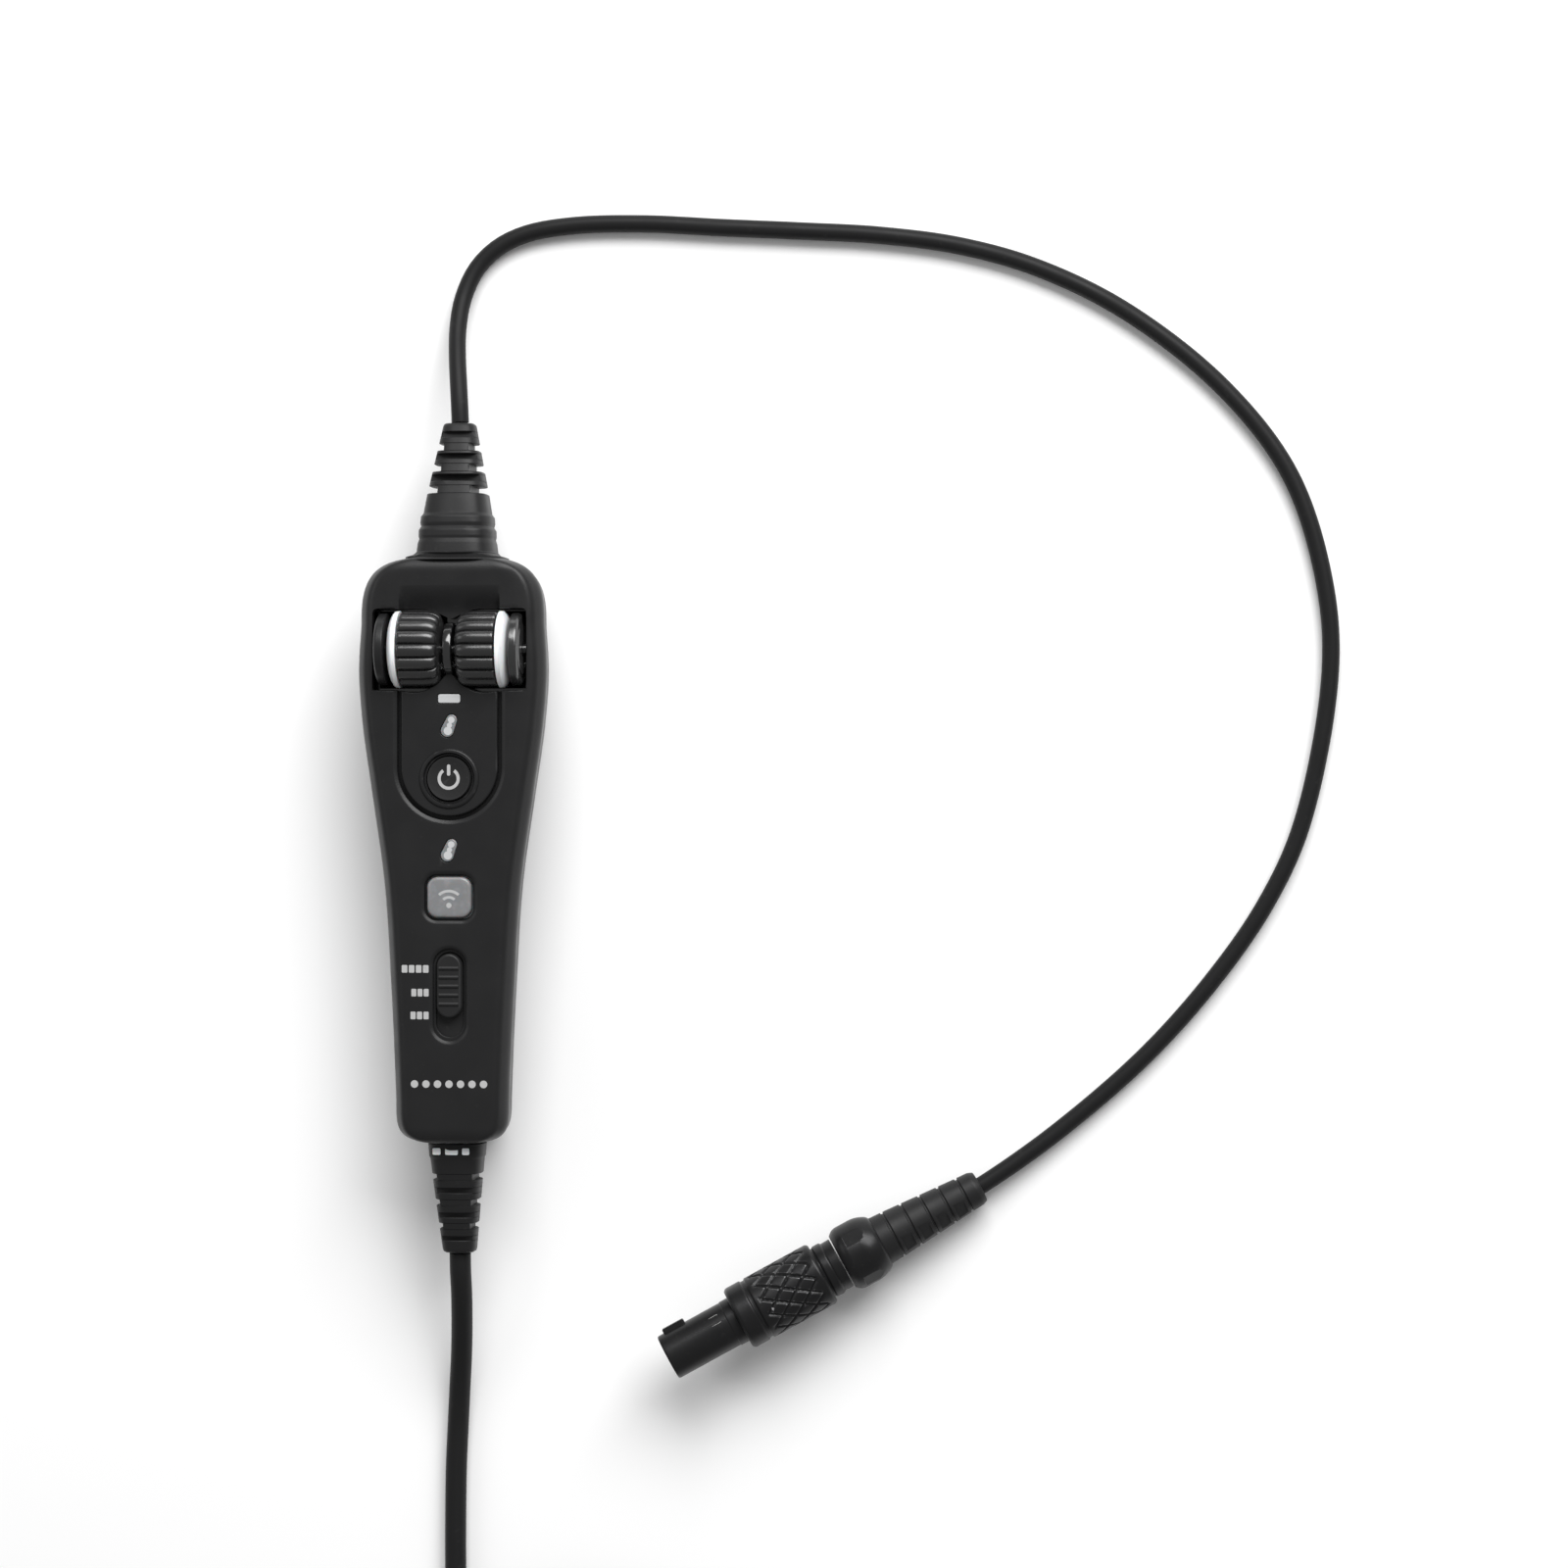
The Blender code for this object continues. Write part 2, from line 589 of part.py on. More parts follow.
def buttons():
    profile = ((0, 29.5), (4.2, 29.5), (POWER_RADIUS, 28.9), (POWER_RADIUS, 25.0), (6.1, 25.0), (6.1, 24.2),
               (1.5, 24.2), (1.5, 23.9), (0, 23.9))
    turned("power_button", profile, RUBBER, Matrix.Translation((0, POWER_Y, 0)), steps=28)
    cap = slab("wireless_button", round_square((0, WIRELESS_Y), WIRELESS_SIZE, 2.1), 26.0, FACE_Z + 0.2, GREY)
    foot = slab("foot", round_square((0, WIRELESS_Y), [side + 2.0 for side in WIRELESS_SIZE], 2.8), 25.5, 26.8,
                GREY)
    stem = box("stem", (-1.5, WIRELESS_Y - 1.5, 23.9), (1.5, WIRELESS_Y + 1.5, 25.8), GREY)
    join(cap, foot, stem)
    for name, y in (("power_switch", POWER_Y), ("wireless_switch", WIRELESS_Y)):
        body = box(name, (-3, y - 3, BOARD_Z[1] + GAP), (3, y + 3, 22.2), STEEL)
        join(body, rod("plunger", (0, y, 22.0), (0, y, 22.9), 1.6, STEEL, 12))


def mode_slider():
    knob_y = SLOT_Y + SLOT_SIZE[1] / 2 - GAP - KNOB_LENGTH / 2
    knob_size = (SLOT_SIZE[0] - 2 * GAP, KNOB_LENGTH)
    knob = slab("mode_slider", stadium((0, knob_y), knob_size), 26.0, FACE_Z + 0.9, RUBBER)
    plate = slab("plate", round_square((0, SLOT_Y + 1.9), (8.8, 23.2), 1.0), 25.6, 26.9, RUBBER)
    peg = box("peg", (-1.2, SLOT_Y + 0.7, 23.9), (1.2, SLOT_Y + 3.1, 25.8), RUBBER)
    join(knob, plate, peg)
    box("slide_switch", (-3.6, SLOT_Y - 8, BOARD_Z[1] + GAP), (3.6, SLOT_Y + 8, 23.6), STEEL)


# ---------------------------------------------------------------- inside

def main_board():
    outline = [(-9.6, -62), (9.6, -62), (11.0, -12), (15.6, 12), (16.4, 31), (-16.4, 31), (-15.6, 12), (-11.0, -12)]
    made = slab("main_board", outline, *BOARD_Z, GREEN)
    holes = [rod(f"hole_{i}", (x, y, 10), (x, y, 30), POST_RADIUS + 0.4, GREEN, 12)
             for i, (x, y, _) in enumerate(SCREW_SPOTS)]
    cut(made, *holes)
    box("radio_shield", (-6.5, -6.2, BOARD_Z[1] + GAP), (6.5, 6.2, 23.4), STEEL)
    box("audio_processor", (-5.0, -50.5, 16.4), (5.0, -40.5, BOARD_Z[0] - GAP), BLACK)


def battery_bay():
    roof = housing_loft("battery_bay", 1.8, 1.8, 1.8, material=BLACK)
    block = box("block", (-30, 3.9, 4.9), (30, 59.0, 17.7), BLACK)
    trim(roof, block, solver="MANIFOLD")
    room = box("room", (-30, 5.0, -5), (30, 70, 16.9), BLACK)
    cut(roof, room, solver="MANIFOLD")
    for word, side in (("left", -1), ("right", 1)):
        x = side * CELL_X
        terminal_y = CELL_Y[1] if side > 0 else CELL_Y[0]
        frame = Matrix.Translation((x, terminal_y, CELL_Z)) @ Matrix.Rotation(-side * math.pi / 2, 4, "X")
        length = CELL_LENGTH
        profile = ((0, 0), (2.7, 0), (2.7, -1.3), (CELL_RADIUS, -1.3), (CELL_RADIUS, -length), (0, -length))
        turned(f"battery_{word}", profile, CELL, frame, steps=18)
        spring(f"battery_spring_{word}", x, side)
    box("battery_contact", (-11, 58.0, 6.4), (11, 58.4, 12.8), STEEL)


def spring(name, x, side):
    """A conical contact spring that presses on the cell's lower end."""
    turns, wire = 2.2, 0.3
    low, high = 5.3 + wire, CELL_Y[0] - GAP - wire
    count = 26
    points = []
    for i in range(count):
        t = i / (count - 1)
        angle = 2 * math.pi * turns * t
        radius = 4.2 - 1.9 * t
        points.append((x + radius * math.cos(angle), low + (high - low) * t, CELL_Z + radius * math.sin(angle)))
    return cord(name, points, wire, STEEL, 0)


# ---------------------------------------------------------------- boots, cords and plugs

def droop(point):
    """Lowers a boot's far end, as the cord's weight does."""
    reach = abs(point[1]) - TOP_END if point[1] > 0 else abs(point[1]) + BOTTOM_END
    run = BOOT_TIP - (TOP_END if point[1] > 0 else -BOTTOM_END)
    t = min(1.0, max(0.0, reach / run))
    return (point[0], point[1], point[2] - BOOT_DROOP * t**1.5)


def boot_profile(stations, inner_end, neck, flange):
    """A moulded boot from its tip down to the flange that is held inside the housing."""
    start = stations[0][1]
    tail = ((neck, start), (neck, inner_end[1]), (flange, inner_end[1]), (flange, inner_end[0]),
            (0, inner_end[0]))
    tip = stations[-1]
    return [(0, tip[1])] + [tuple(station) for station in reversed(stations)] + list(tail)


def boots():
    """Each boot's stations are (radius, distance from the middle of the module), with its grooves."""
    top = [(9.0, 63.6), (8.7, 66.2), (8.2, 67.8), (8.05, 70.3), (7.6, 72.2), (6.6, 77.2), (4.5, 77.5), (4.5, 79.4),
           (5.9, 79.7), (5.3, 82.2), (3.9, 82.5), (3.9, 84.4), (4.9, 84.7), (4.4, 87.2), (3.0, 87.5), (3.0, 89.2),
           (4.0, 89.5), (3.5, BOOT_TIP)]
    bottom = [(6.35, 68.8), (6.0, 72.0), (5.6, 75.5), (4.6, 75.8), (4.6, 77.0), (5.4, 77.3), (5.0, 81.3),
              (4.1, 81.6), (4.1, 82.8), (4.7, 83.1), (4.3, 86.3), (3.4, 86.6), (3.4, 87.8), (3.9, 88.1),
              (3.55, BOOT_TIP)]
    out = Matrix.Translation((0, 0, BOOT_Z))
    turned("top_boot", boot_profile(top, (60.2, 61.3), 4.0, 5.4), RUBBER,
           out @ Matrix.Rotation(-math.pi / 2, 4, "X"), steps=16, reshape=droop)
    turned("bottom_boot", boot_profile(bottom, (65.3, 66.5), 4.0, 5.4), RUBBER,
           out @ Matrix.Rotation(math.pi / 2, 4, "X"), steps=16, reshape=droop)


def plug_frame():
    """A frame whose Z runs along the round plug from its tail to its tip."""
    return (Matrix.Translation(PLUG_TAIL) @ Matrix.Rotation(PLUG_HEADING, 4, "Z")
            @ Matrix.Rotation(math.pi / 2 - PLUG_PITCH, 4, "Y"))


def round_plug():
    frame = plug_frame()
    boot = [(0, 25.9), (5.3, 25.9), (5.3, 22.9)]
    for ring in range(4):
        crest = 22.9 - 5.3 * ring
        radius = 5.2 - 0.33 * ring
        boot += [(radius - 0.6, crest - 0.2), (radius - 0.6, crest - 1.0), (radius, crest - 1.2)]
    boot += [(3.95, 1.2), (3.6, 0), (0, 0)]
    turned("plug_boot", boot, RUBBER, frame, steps=16)
    nut = ((0, 35.6), (6.9, 35.6), (7.65, 34.8), (7.65, 27.6), (7.0, 26.2), (0, 26.2))
    turned("plug_collet_nut", nut, DARK_METAL, frame, steps=20)
    sleeve = ((6.35, 62.4), (7.0, 62.4), (7.45, 61.9), (7.45, 58.2), (7.15, 58.0), (7.15, 57.4), (7.45, 57.2),
              (7.45, 41.2), (7.0, 40.7), (6.35, 40.7))
    turned("plug_sleeve", sleeve, DARK_METAL, frame, steps=20, closed=True)
    nose = ((0, 73.4), (4.5, 73.4), (4.5, 80.4), (5.0, 80.4), (5.3, 80.1), (5.3, 62.4), (6.0, 62.2), (6.0, 35.9),
            (0, 35.9))
    key = box("key", (-1.3, 4.9, 71.5), (1.3, 6.1, 78.5), DARK_METAL)
    key.data.transform(Matrix.Scale(MM, 4) @ frame @ Matrix.Rotation(KEY_TURN, 4, "Z") @ Matrix.Scale(1 / MM, 4))
    join(turned("plug_nose", nose, DARK_METAL, frame, steps=20), key)
    insert = ((0, 77.0), (4.2, 77.0), (4.2, 73.7), (0, 73.7))
    turned("plug_insert", insert, BLACK, frame, steps=16)
    for i in range(6):
        angle = math.radians(60 * i + 20)
        spot = (2.5 * math.cos(angle), 2.5 * math.sin(angle))
        rod(f"plug_pin_{i + 1}", frame @ Vector((*spot, 77.3)), frame @ Vector((*spot, 79.6)), 0.45, GOLD, 8)


def headset_connector():
    frame = Matrix.Translation(CONNECTOR_TAIL) @ Matrix.Rotation(math.pi / 2, 4, "Y")
    boot = [(0, 16), (3.9, 16), (3.9, 13.5), (3.3, 13.3), (3.3, 12.6), (3.8, 12.4), (3.6, 8.5), (3.1, 8.3), (3.1, 7.6),
            (3.5, 7.4), (3.2, 0), (0, 0)]
    turned("connector_boot", boot, RUBBER, frame, steps=16)
    shell = [(0, 32.3), (4.1, 32.3), (4.5, 31.9), (4.5, 17.0), (4.1, 16.3), (0, 16.3)]
    turned("connector_shell", shell, DARK_METAL, frame, steps=20)
    nose = [(0, 38.0), (2.4, 38.0), (2.4, 40.6), (3.0, 40.6), (3.2, 40.3), (3.2, 32.6), (0, 32.6)]
    turned("connector_nose", nose, DARK_METAL, frame, steps=16)


def cords():
    cord("plug_cord", smooth(PLUG_CORD_ROUTE, 8.0), PLUG_CORD_RADIUS, CABLE)
    cord("headset_cord", smooth(HEADSET_CORD_ROUTE, 9.0), HEADSET_CORD_RADIUS, CABLE)
    inner = COIL_RADIUS - 3 * HEADSET_CORD_RADIUS - 0.1
    outer = COIL_RADIUS + 3 * HEADSET_CORD_RADIUS + 0.1
    top = COIL_LIFT + 3.9 * HEADSET_CORD_RADIUS
    profile = ((outer, top - 3), (outer, COIL_LIFT), (inner, COIL_LIFT), (inner, top - 3), (inner + 3, top),
               (outer - 3, top))
    turned("headset_cord_coil", profile, CABLE, Matrix.Translation((*COIL_CENTRE, 0)), steps=40, closed=True)
    exit_y = COIL_CENTRE[1] - COIL_RADIUS - HEADSET_CORD_RADIUS
    tail = ((COIL_CENTRE[0] + 24.5, exit_y - 0.3, 6.9), (COIL_CENTRE[0] + 29, exit_y - 0.9, 5.9),
            (COIL_CENTRE[0] + 33.5, exit_y - 1.8, 4.9), (CONNECTOR_TAIL[0] - 4.5, *CONNECTOR_TAIL[1:]),
            (CONNECTOR_TAIL[0] - 1.2 * GAP, *CONNECTOR_TAIL[1:]))
    cord("headset_cord_tail", smooth(tail, 4.0), HEADSET_CORD_RADIUS, CABLE)


# ---------------------------------------------------------------- everything

clear_scene()
PARTS = new_collection(MODULE)
BLACK = new_material("satin_black_plastic", (0.018, 0.018, 0.019), 0.42)
RUBBER = new_material("soft_black_rubber", (0.022, 0.022, 0.023), 0.62)
GLOSS = new_material("gloss_black_plastic", (0.02, 0.02, 0.02), 0.18)
WHITE = new_material("white_lens_plastic", (0.82, 0.83, 0.84), 0.3)
GREY = new_material("smoke_grey_plastic", (0.3, 0.3, 0.31), 0.35)
DARK_METAL = new_material("black_anodised_metal", (0.02, 0.02, 0.022), 0.35, 0.8)
STEEL = new_material("plated_steel", (0.6, 0.6, 0.6), 0.3, 1.0)
GOLD = new_material("gold_plated_pin", (0.83, 0.6, 0.25), 0.25, 1.0)
CABLE = new_material("black_cable_jacket", (0.02, 0.02, 0.021), 0.5)
GREEN = new_material("circuit_board", (0.02, 0.16, 0.06), 0.5)
CELL = new_material("battery_sleeve", (0.1, 0.22, 0.4), 0.35)

front_case()
rear_case()
battery_door()
case_screws()
volume_wheels()
control_panel()
lights()
buttons()
mode_slider()
main_board()
battery_bay()
boots()
round_plug()
headset_connector()
cords()
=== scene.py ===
"""The looks of the in-line control module: camera, light, materials and fine meshes round the CAD frame.

Lengths are in millimetres, as in part.py. mesh_object() and line() turn them into metres.
"""

import math

import bmesh
import bpy
import numpy as np
from mathutils import Matrix, Vector


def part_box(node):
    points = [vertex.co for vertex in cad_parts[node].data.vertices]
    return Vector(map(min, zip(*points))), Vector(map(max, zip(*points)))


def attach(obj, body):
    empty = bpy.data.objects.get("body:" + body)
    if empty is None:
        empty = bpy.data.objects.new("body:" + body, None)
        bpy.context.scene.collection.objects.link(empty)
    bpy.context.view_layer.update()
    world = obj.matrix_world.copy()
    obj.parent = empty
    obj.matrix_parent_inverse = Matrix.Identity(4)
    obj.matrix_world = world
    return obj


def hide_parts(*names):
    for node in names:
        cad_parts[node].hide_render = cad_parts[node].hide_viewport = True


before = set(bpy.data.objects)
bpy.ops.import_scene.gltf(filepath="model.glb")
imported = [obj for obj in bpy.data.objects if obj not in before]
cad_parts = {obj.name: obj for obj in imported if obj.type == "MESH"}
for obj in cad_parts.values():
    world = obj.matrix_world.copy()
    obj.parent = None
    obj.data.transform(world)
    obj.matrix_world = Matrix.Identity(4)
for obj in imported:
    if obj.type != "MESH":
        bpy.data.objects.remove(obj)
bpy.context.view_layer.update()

MM = 0.001
GAP = 0.3
SHARP_ANGLE = math.radians(35)
WELD_DISTANCE = 0.000004  # in metres
AXIS_HOLE = 0.02  # the radius that turned shapes keep on their axis
FINE = 96  # sides of the larger round pieces
# Heights where cutters end: under the back, below the face's wall and above the face.
UNDER, BELOW, ABOVE = -5, 20, 40


def low(node):
    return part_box(node)[0] / MM


def high(node):
    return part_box(node)[1] / MM


def middle(node):
    return (low(node) + high(node)) / 2


# Housing
TOP_END = high("front_case").y + 0.1
BOTTOM_END = low("front_case").y - 0.05
FACE_Z = high("front_case").z
PARTING_Z = (low("front_case").z + high("rear_case").z) / 2
SIDE_WALL = 1.4
FRONT_WALL = 1.8
FACE_INSET = 2.3
RIM_DROP = 3.0
SHOULDER_START = 0.62  # share of the half-width where the face starts to roll off
SHOULDER_DROP = 1.0
BELLY_INSET = 1.9
BELLY_Z = 9.0
BACK_INSET = 5.9
SCOOP_DEPTH = 3.4
SCOOP_TOP = (5.1, 7.1)
SCOOP_BOTTOM = (-54.0, -45.0)
SEAM_DEPTH = 0.35
END_REACH = 3.5
HALF_WIDTHS = ((-59, 12.95), (-32, 14.15), (-10, 15.6), (10, 18.4), (26, 20.65), (38, 21.45), (48, 20.9))

# Volume wheels
WHEEL_Y = middle("wheel_cap_left").y
WHEEL_Z = middle("wheel_cap_left").z
WHEEL_RADIUS = (high("wheel_cap_left").z - low("wheel_cap_left").z) / 2
WHEEL_INNER_X = low("wheel_right").x
WHEEL_OUTER_X = high("wheel_right").x
CAP_OUTER_X = high("wheel_cap_right").x
WHEEL_EDGE = 0.45
AXLE_BORE = 1.2 + GAP
WHEEL_RIBS = 16
RIB_STEPS = 18
RIB_PHASE = 0.06
RIB_ROUND = 2.3
VALLEY_DEPTH = 0.3
HUB_RADIUS = 6.0
WINDOW_X = 17.4
WINDOW_Y = (33.2, 51.3)
WELL_TOP = 24.2
HOOD_X = 11.4
HOOD_Y = (49.0, 57.0)
HOOD_DEPTH = 2.3

# Control face
GROOVE_OUTER = 12.3
GROOVE_INNER = 10.9
PANEL_CENTRE_Y = 15.9
PANEL_TOP_Y = 33.0
PANEL_BACK_Z = 27.2
CUSP_Y = 37.5
STEM_FOOT_Z = 23.9
POWER_Y = middle("power_button").y
WIRELESS_Y = middle("wireless_button").y
SLOT_Y = -34.9
SLOT_SIZE = (6.2, 19.0)
SLOT_WELL = (7.4, 20.6)
BAR_Y = middle("status_bar_lens").y
BAR_SPOT = (0, BAR_Y - 0.15)
POWER_LIGHT_Y = 25.2
WIRELESS_LIGHT_Y = -2.6
SCREW_SPOTS = ((-7.0, -21.5, 3.4), (7.0, -21.5, 3.4), (-6.0, -57.0, 0.0), (6.0, -57.0, 0.0))

# Cords, boots and plugs
BOOT_Z = 18.0
BOOT_DROOP = 3.4
BOOT_TIP = high("top_boot").y
PLUG_CORD_RADIUS = 2.0
HEADSET_CORD_RADIUS = 2.45
CORD_SPACING = 2.0
PLUG_TAIL = (117.4, -79.0, 3.95)
PLUG_HEADING = math.radians(208.7)
PLUG_PITCH = math.radians(7.8)
CONNECTOR_TAIL = (71.0, -238.0, 4.5)
COIL_CENTRE = (28.6, -207.0)
COIL_RADIUS = 26.5
COIL_LIFT = 0.6

# The plug's cord, from the top boot's tip to the plug's tail and a little way into it.
PLUG_CORD_ROUTE = (
    (0, 94.2, 14.6), (-0.2, 98, 14.3), (-0.7, 103, 12.8), (-1.5, 109.5, 9.8), (-2, 116.5, 6.2),
    (-1.3, 123.5, 3.6), (1.6, 130.5, 2.3), (6.3, 135.3, 2.05), (13, 138.5, 2.05), (24, 140.3, 2.05),
    (40.5, 140.5, 2.05),
    (58.5, 139.4, 2.05), (76.5, 138.4, 2.05), (94.5, 137.2, 2.05), (112.5, 134.6, 2.05),
    (130, 129.5, 2.05), (150, 119.5, 2.05), (172, 102, 2.05), (187, 82.5, 2.05), (194.5, 60, 2.05),
    (196.3, 38.5, 2.05), (190, 3.5, 2.05), (182, -14.5, 2.05), (170, -32, 2.05), (154.5, -49.5, 2.1),
    (134, -67.3, 2.6), (117.7, -78.8, 3.95), (113.0, -81.4, 4.6),
)
# The headset's cord, from the bottom boot's tip to its coil.
HEADSET_CORD_ROUTE = (
    (0, -94.2, 14.6), (0, -98, 14.3), (0, -103, 12.9), (-0.4, -110, 10), (-1.1, -118, 6.6),
    (-1.9, -126, 4.1), (-2.5, -134, 2.8), (-3.0, -144, 2.5), (-3.2, -157, 2.5),
    (-3.1, -172, 2.75), (-2.8, -188, 3.05),
)
# The headset's cord, from its coil to the connector's tail.
CONNECTOR_CORD_ROUTE = (
    (38.0, -236.0, 8.0), (45.0, -236.0, 7.9), (53.1, -236.3, 6.9), (57.6, -236.9, 5.9), (62.1, -237.5, 4.95),
    (66.5, -238.0, 4.5), (70.7, -238.0, 4.5),
)


# ---------------------------------------------------------------- camera, light and floor

# In metres, as Blender takes them.
CAMERA_TARGET = (0.0724, 0.0122, 0.0)
CAMERA_DISTANCE = 0.9
CAMERA_TILT = math.radians(5.3)
LIGHTS_AIM = (0.05, 0, 0)
FLOOR_REACH = 6


def camera_and_light():
    data = bpy.data.cameras.new("camera")
    camera = bpy.data.objects.new("camera", data)
    bpy.context.scene.collection.objects.link(camera)
    away = Vector((math.sin(CAMERA_TILT), 0, math.cos(CAMERA_TILT)))
    camera.location = Vector(CAMERA_TARGET) + CAMERA_DISTANCE * away
    camera.rotation_euler = (0, CAMERA_TILT, 0)
    data.sensor_width = 36
    data.lens = 90.3
    data.clip_start = 0.01
    data.clip_end = 20
    bpy.context.scene.camera = camera

    world = bpy.data.worlds.new("studio")
    world.use_nodes = True
    background = world.node_tree.nodes["Background"]
    background.inputs["Color"].default_value = (1.0, 1.0, 1.0, 1.0)
    background.inputs["Strength"].default_value = 0.34
    bpy.context.scene.world = world
    bpy.context.scene.view_settings.view_transform = "Standard"
    softbox("key", (0.4, 1.0, 0.95), (1.3, 0.9), 31)
    softbox("left", (-1.1, 0.4, 0.9), (0.8, 0.8), 2.5)

    mesh = bpy.data.meshes.new("floor")
    corners = [(x * FLOOR_REACH, y * FLOOR_REACH, 0) for x, y in ((-1, -1), (1, -1), (1, 1), (-1, 1))]
    mesh.from_pydata(corners, [], [(0, 1, 2, 3)])
    floor = bpy.data.objects.new("floor", mesh)
    bpy.context.scene.collection.objects.link(floor)
    material = bpy.data.materials.new("pale_floor")
    material.use_nodes = True
    shader = material.node_tree.nodes["Principled BSDF"]
    shader.inputs["Base Color"].default_value = (0.93, 0.93, 0.93, 1.0)
    shader.inputs["Roughness"].default_value = 0.9
    mesh.materials.append(material)


def softbox(name, place, size, power):
    data = bpy.data.lights.new(name, "AREA")
    data.shape = "RECTANGLE"
    data.size, data.size_y = size
    data.energy = power
    lamp = bpy.data.objects.new(name, data)
    lamp.location = place
    lamp.rotation_euler = (Vector(LIGHTS_AIM) - Vector(place)).to_track_quat("-Z", "Y").to_euler()
    bpy.context.scene.collection.objects.link(lamp)


# ---------------------------------------------------------------- materials

class Surface:
    """A Principled material whose colour, roughness and bump come from procedural nodes."""

    def __init__(self, name, colour, roughness, metallic=0.0):
        self.material = bpy.data.materials.new(name)
        self.material.use_nodes = True
        self.material.diffuse_color = (*colour, 1.0)
        self.tree = self.material.node_tree
        self.shader = self.tree.nodes["Principled BSDF"]
        self.shader.inputs["Metallic"].default_value = metallic
        self.coordinates = self.tree.nodes.new("ShaderNodeTexCoord").outputs["Object"]
        self.colour = self.mix(self.noise(60), colour, [channel * 1.12 for channel in colour])
        self.roughness = self.spread(self.noise(140, 3), roughness - 0.05, roughness + 0.05)
        self.height = None

    def node(self, kind, output, inputs, **settings):
        """Adds a node and returns one of its outputs. An input takes another node's output, or a value."""
        made = self.tree.nodes.new(f"ShaderNode{kind}")
        for name, value in settings.items():
            setattr(made, name, value)
        for key, value in inputs.items():
            if hasattr(value, "node"):
                self.tree.links.new(value, made.inputs[key])
            else:
                made.inputs[key].default_value = value
        return made.outputs[output]

    def noise(self, scale, detail=2.0, stretch=None):
        vector = self.coordinates
        if stretch:
            vector = self.node("Mapping", "Vector", {"Vector": vector, "Scale": stretch})
        return self.node("TexNoise", "Fac", {"Vector": vector, "Scale": scale, "Detail": detail})

    def cells(self, scale):
        return self.node("TexVoronoi", "Distance", {"Vector": self.coordinates, "Scale": scale})

    def waves(self, scale, direction, distortion=0.0):
        inputs = {"Vector": self.coordinates, "Scale": scale, "Distortion": distortion}
        return self.node("TexWave", "Fac", inputs, bands_direction=direction)

    def spread(self, value, lowest, highest, start=0.3, end=0.7):
        """Maps the values from start to end onto those from lowest to highest."""
        return self.node("MapRange", "Result", {"Value": value, "From Min": start, "From Max": end,
                                                "To Min": lowest, "To Max": highest})

    def mix(self, factor, first, second):
        """Mixes two colours. The numbers are the sockets of the colour form of the Mix node."""
        first, second = [value if hasattr(value, "node") else (*value, 1.0) for value in (first, second)]
        return self.node("Mix", 2, {0: factor, 6: first, 7: second}, data_type="RGBA")

    def maths(self, first, second, operation="ADD"):
        return self.node("Math", 0, {0: first, 1: second}, operation=operation)

    def bump(self, value, depth):
        """Adds relief of a depth in millimetres."""
        scaled = self.maths(value, depth * MM, "MULTIPLY")
        self.height = scaled if self.height is None else self.maths(self.height, scaled)

    def wear(self, colour, amount):
        """Shows another colour on convex edges."""
        geometry = self.tree.nodes.new("ShaderNodeNewGeometry")
        edges = self.spread(geometry.outputs["Pointiness"], 0.0, 1.0, 0.53, 0.62)
        self.colour = self.mix(self.maths(edges, amount, "MULTIPLY"), self.colour, colour)

    def speckle(self, scale, colour, threshold, amount):
        """Fine dust or flecks."""
        spots = self.spread(self.noise(scale, 4), 0.0, amount, *threshold)
        self.colour = self.mix(spots, self.colour, colour)

    def done(self, slot, **values):
        """Links the colour, roughness and relief, and sets the shader's other values. The slot is not used.
        """
        for name, value in values.items():
            self.shader.inputs[name.replace("_", " ")].default_value = value
        self.tree.links.new(self.colour, self.shader.inputs["Base Color"])
        self.tree.links.new(self.roughness, self.shader.inputs["Roughness"])
        normal = self.node("Bump", "Normal", {"Strength": 1.0, "Distance": 1.0, "Height": self.height})
        self.tree.links.new(normal, self.shader.inputs["Normal"])
        return self.material


def finish(name, slot, colour, roughness, relief, flecks, worn=None, metallic=0.0, **values):
    """A plain material.

    relief is rows of (scale, detail, depth in mm, stretch), where no detail means a pattern of cells.
    flecks is (scale, colour, threshold, amount), and worn is (colour, amount) for rubbed edges.
    """
    made = Surface(name, colour, roughness, metallic)
    for scale, detail, depth, *stretch in relief:
        made.bump(made.noise(scale, detail, *stretch) if detail else made.cells(scale), depth)
    made.speckle(*flecks)
    if worn:
        made.wear(*worn)
    return made.done(slot, **values)


def rubber(name, colour, roughness, shine, slot="soft_black_rubber"):
    """Moulded rubber: softly mottled, with a little dust and paler rubbed edges."""
    return finish(name, slot, colour, roughness, [(1800, 3, 0.014), (160, 2, 0.03)],
                  (700, (0.028, 0.027, 0.026), (0.64, 0.72), 0.3),
                  ([channel * 2.4 for channel in colour], 0.6),
                  Specular_IOR_Level=shine, Sheen_Weight=0.02, Sheen_Roughness=0.5)


def black_metal(name, worn):
    """Black anodised aluminium: bead-blasted, with bright metal showing on rubbed edges."""
    return finish(name, "black_metal", (0.015, 0.015, 0.0155), 0.34, [(2200, 3, 0.010), (120, 2, 0.015)],
                  (900, (0.03, 0.03, 0.03), (0.62, 0.7), 0.3), ((0.42, 0.42, 0.43), worn), metallic=0.5,
                  Specular_IOR_Level=0.30)


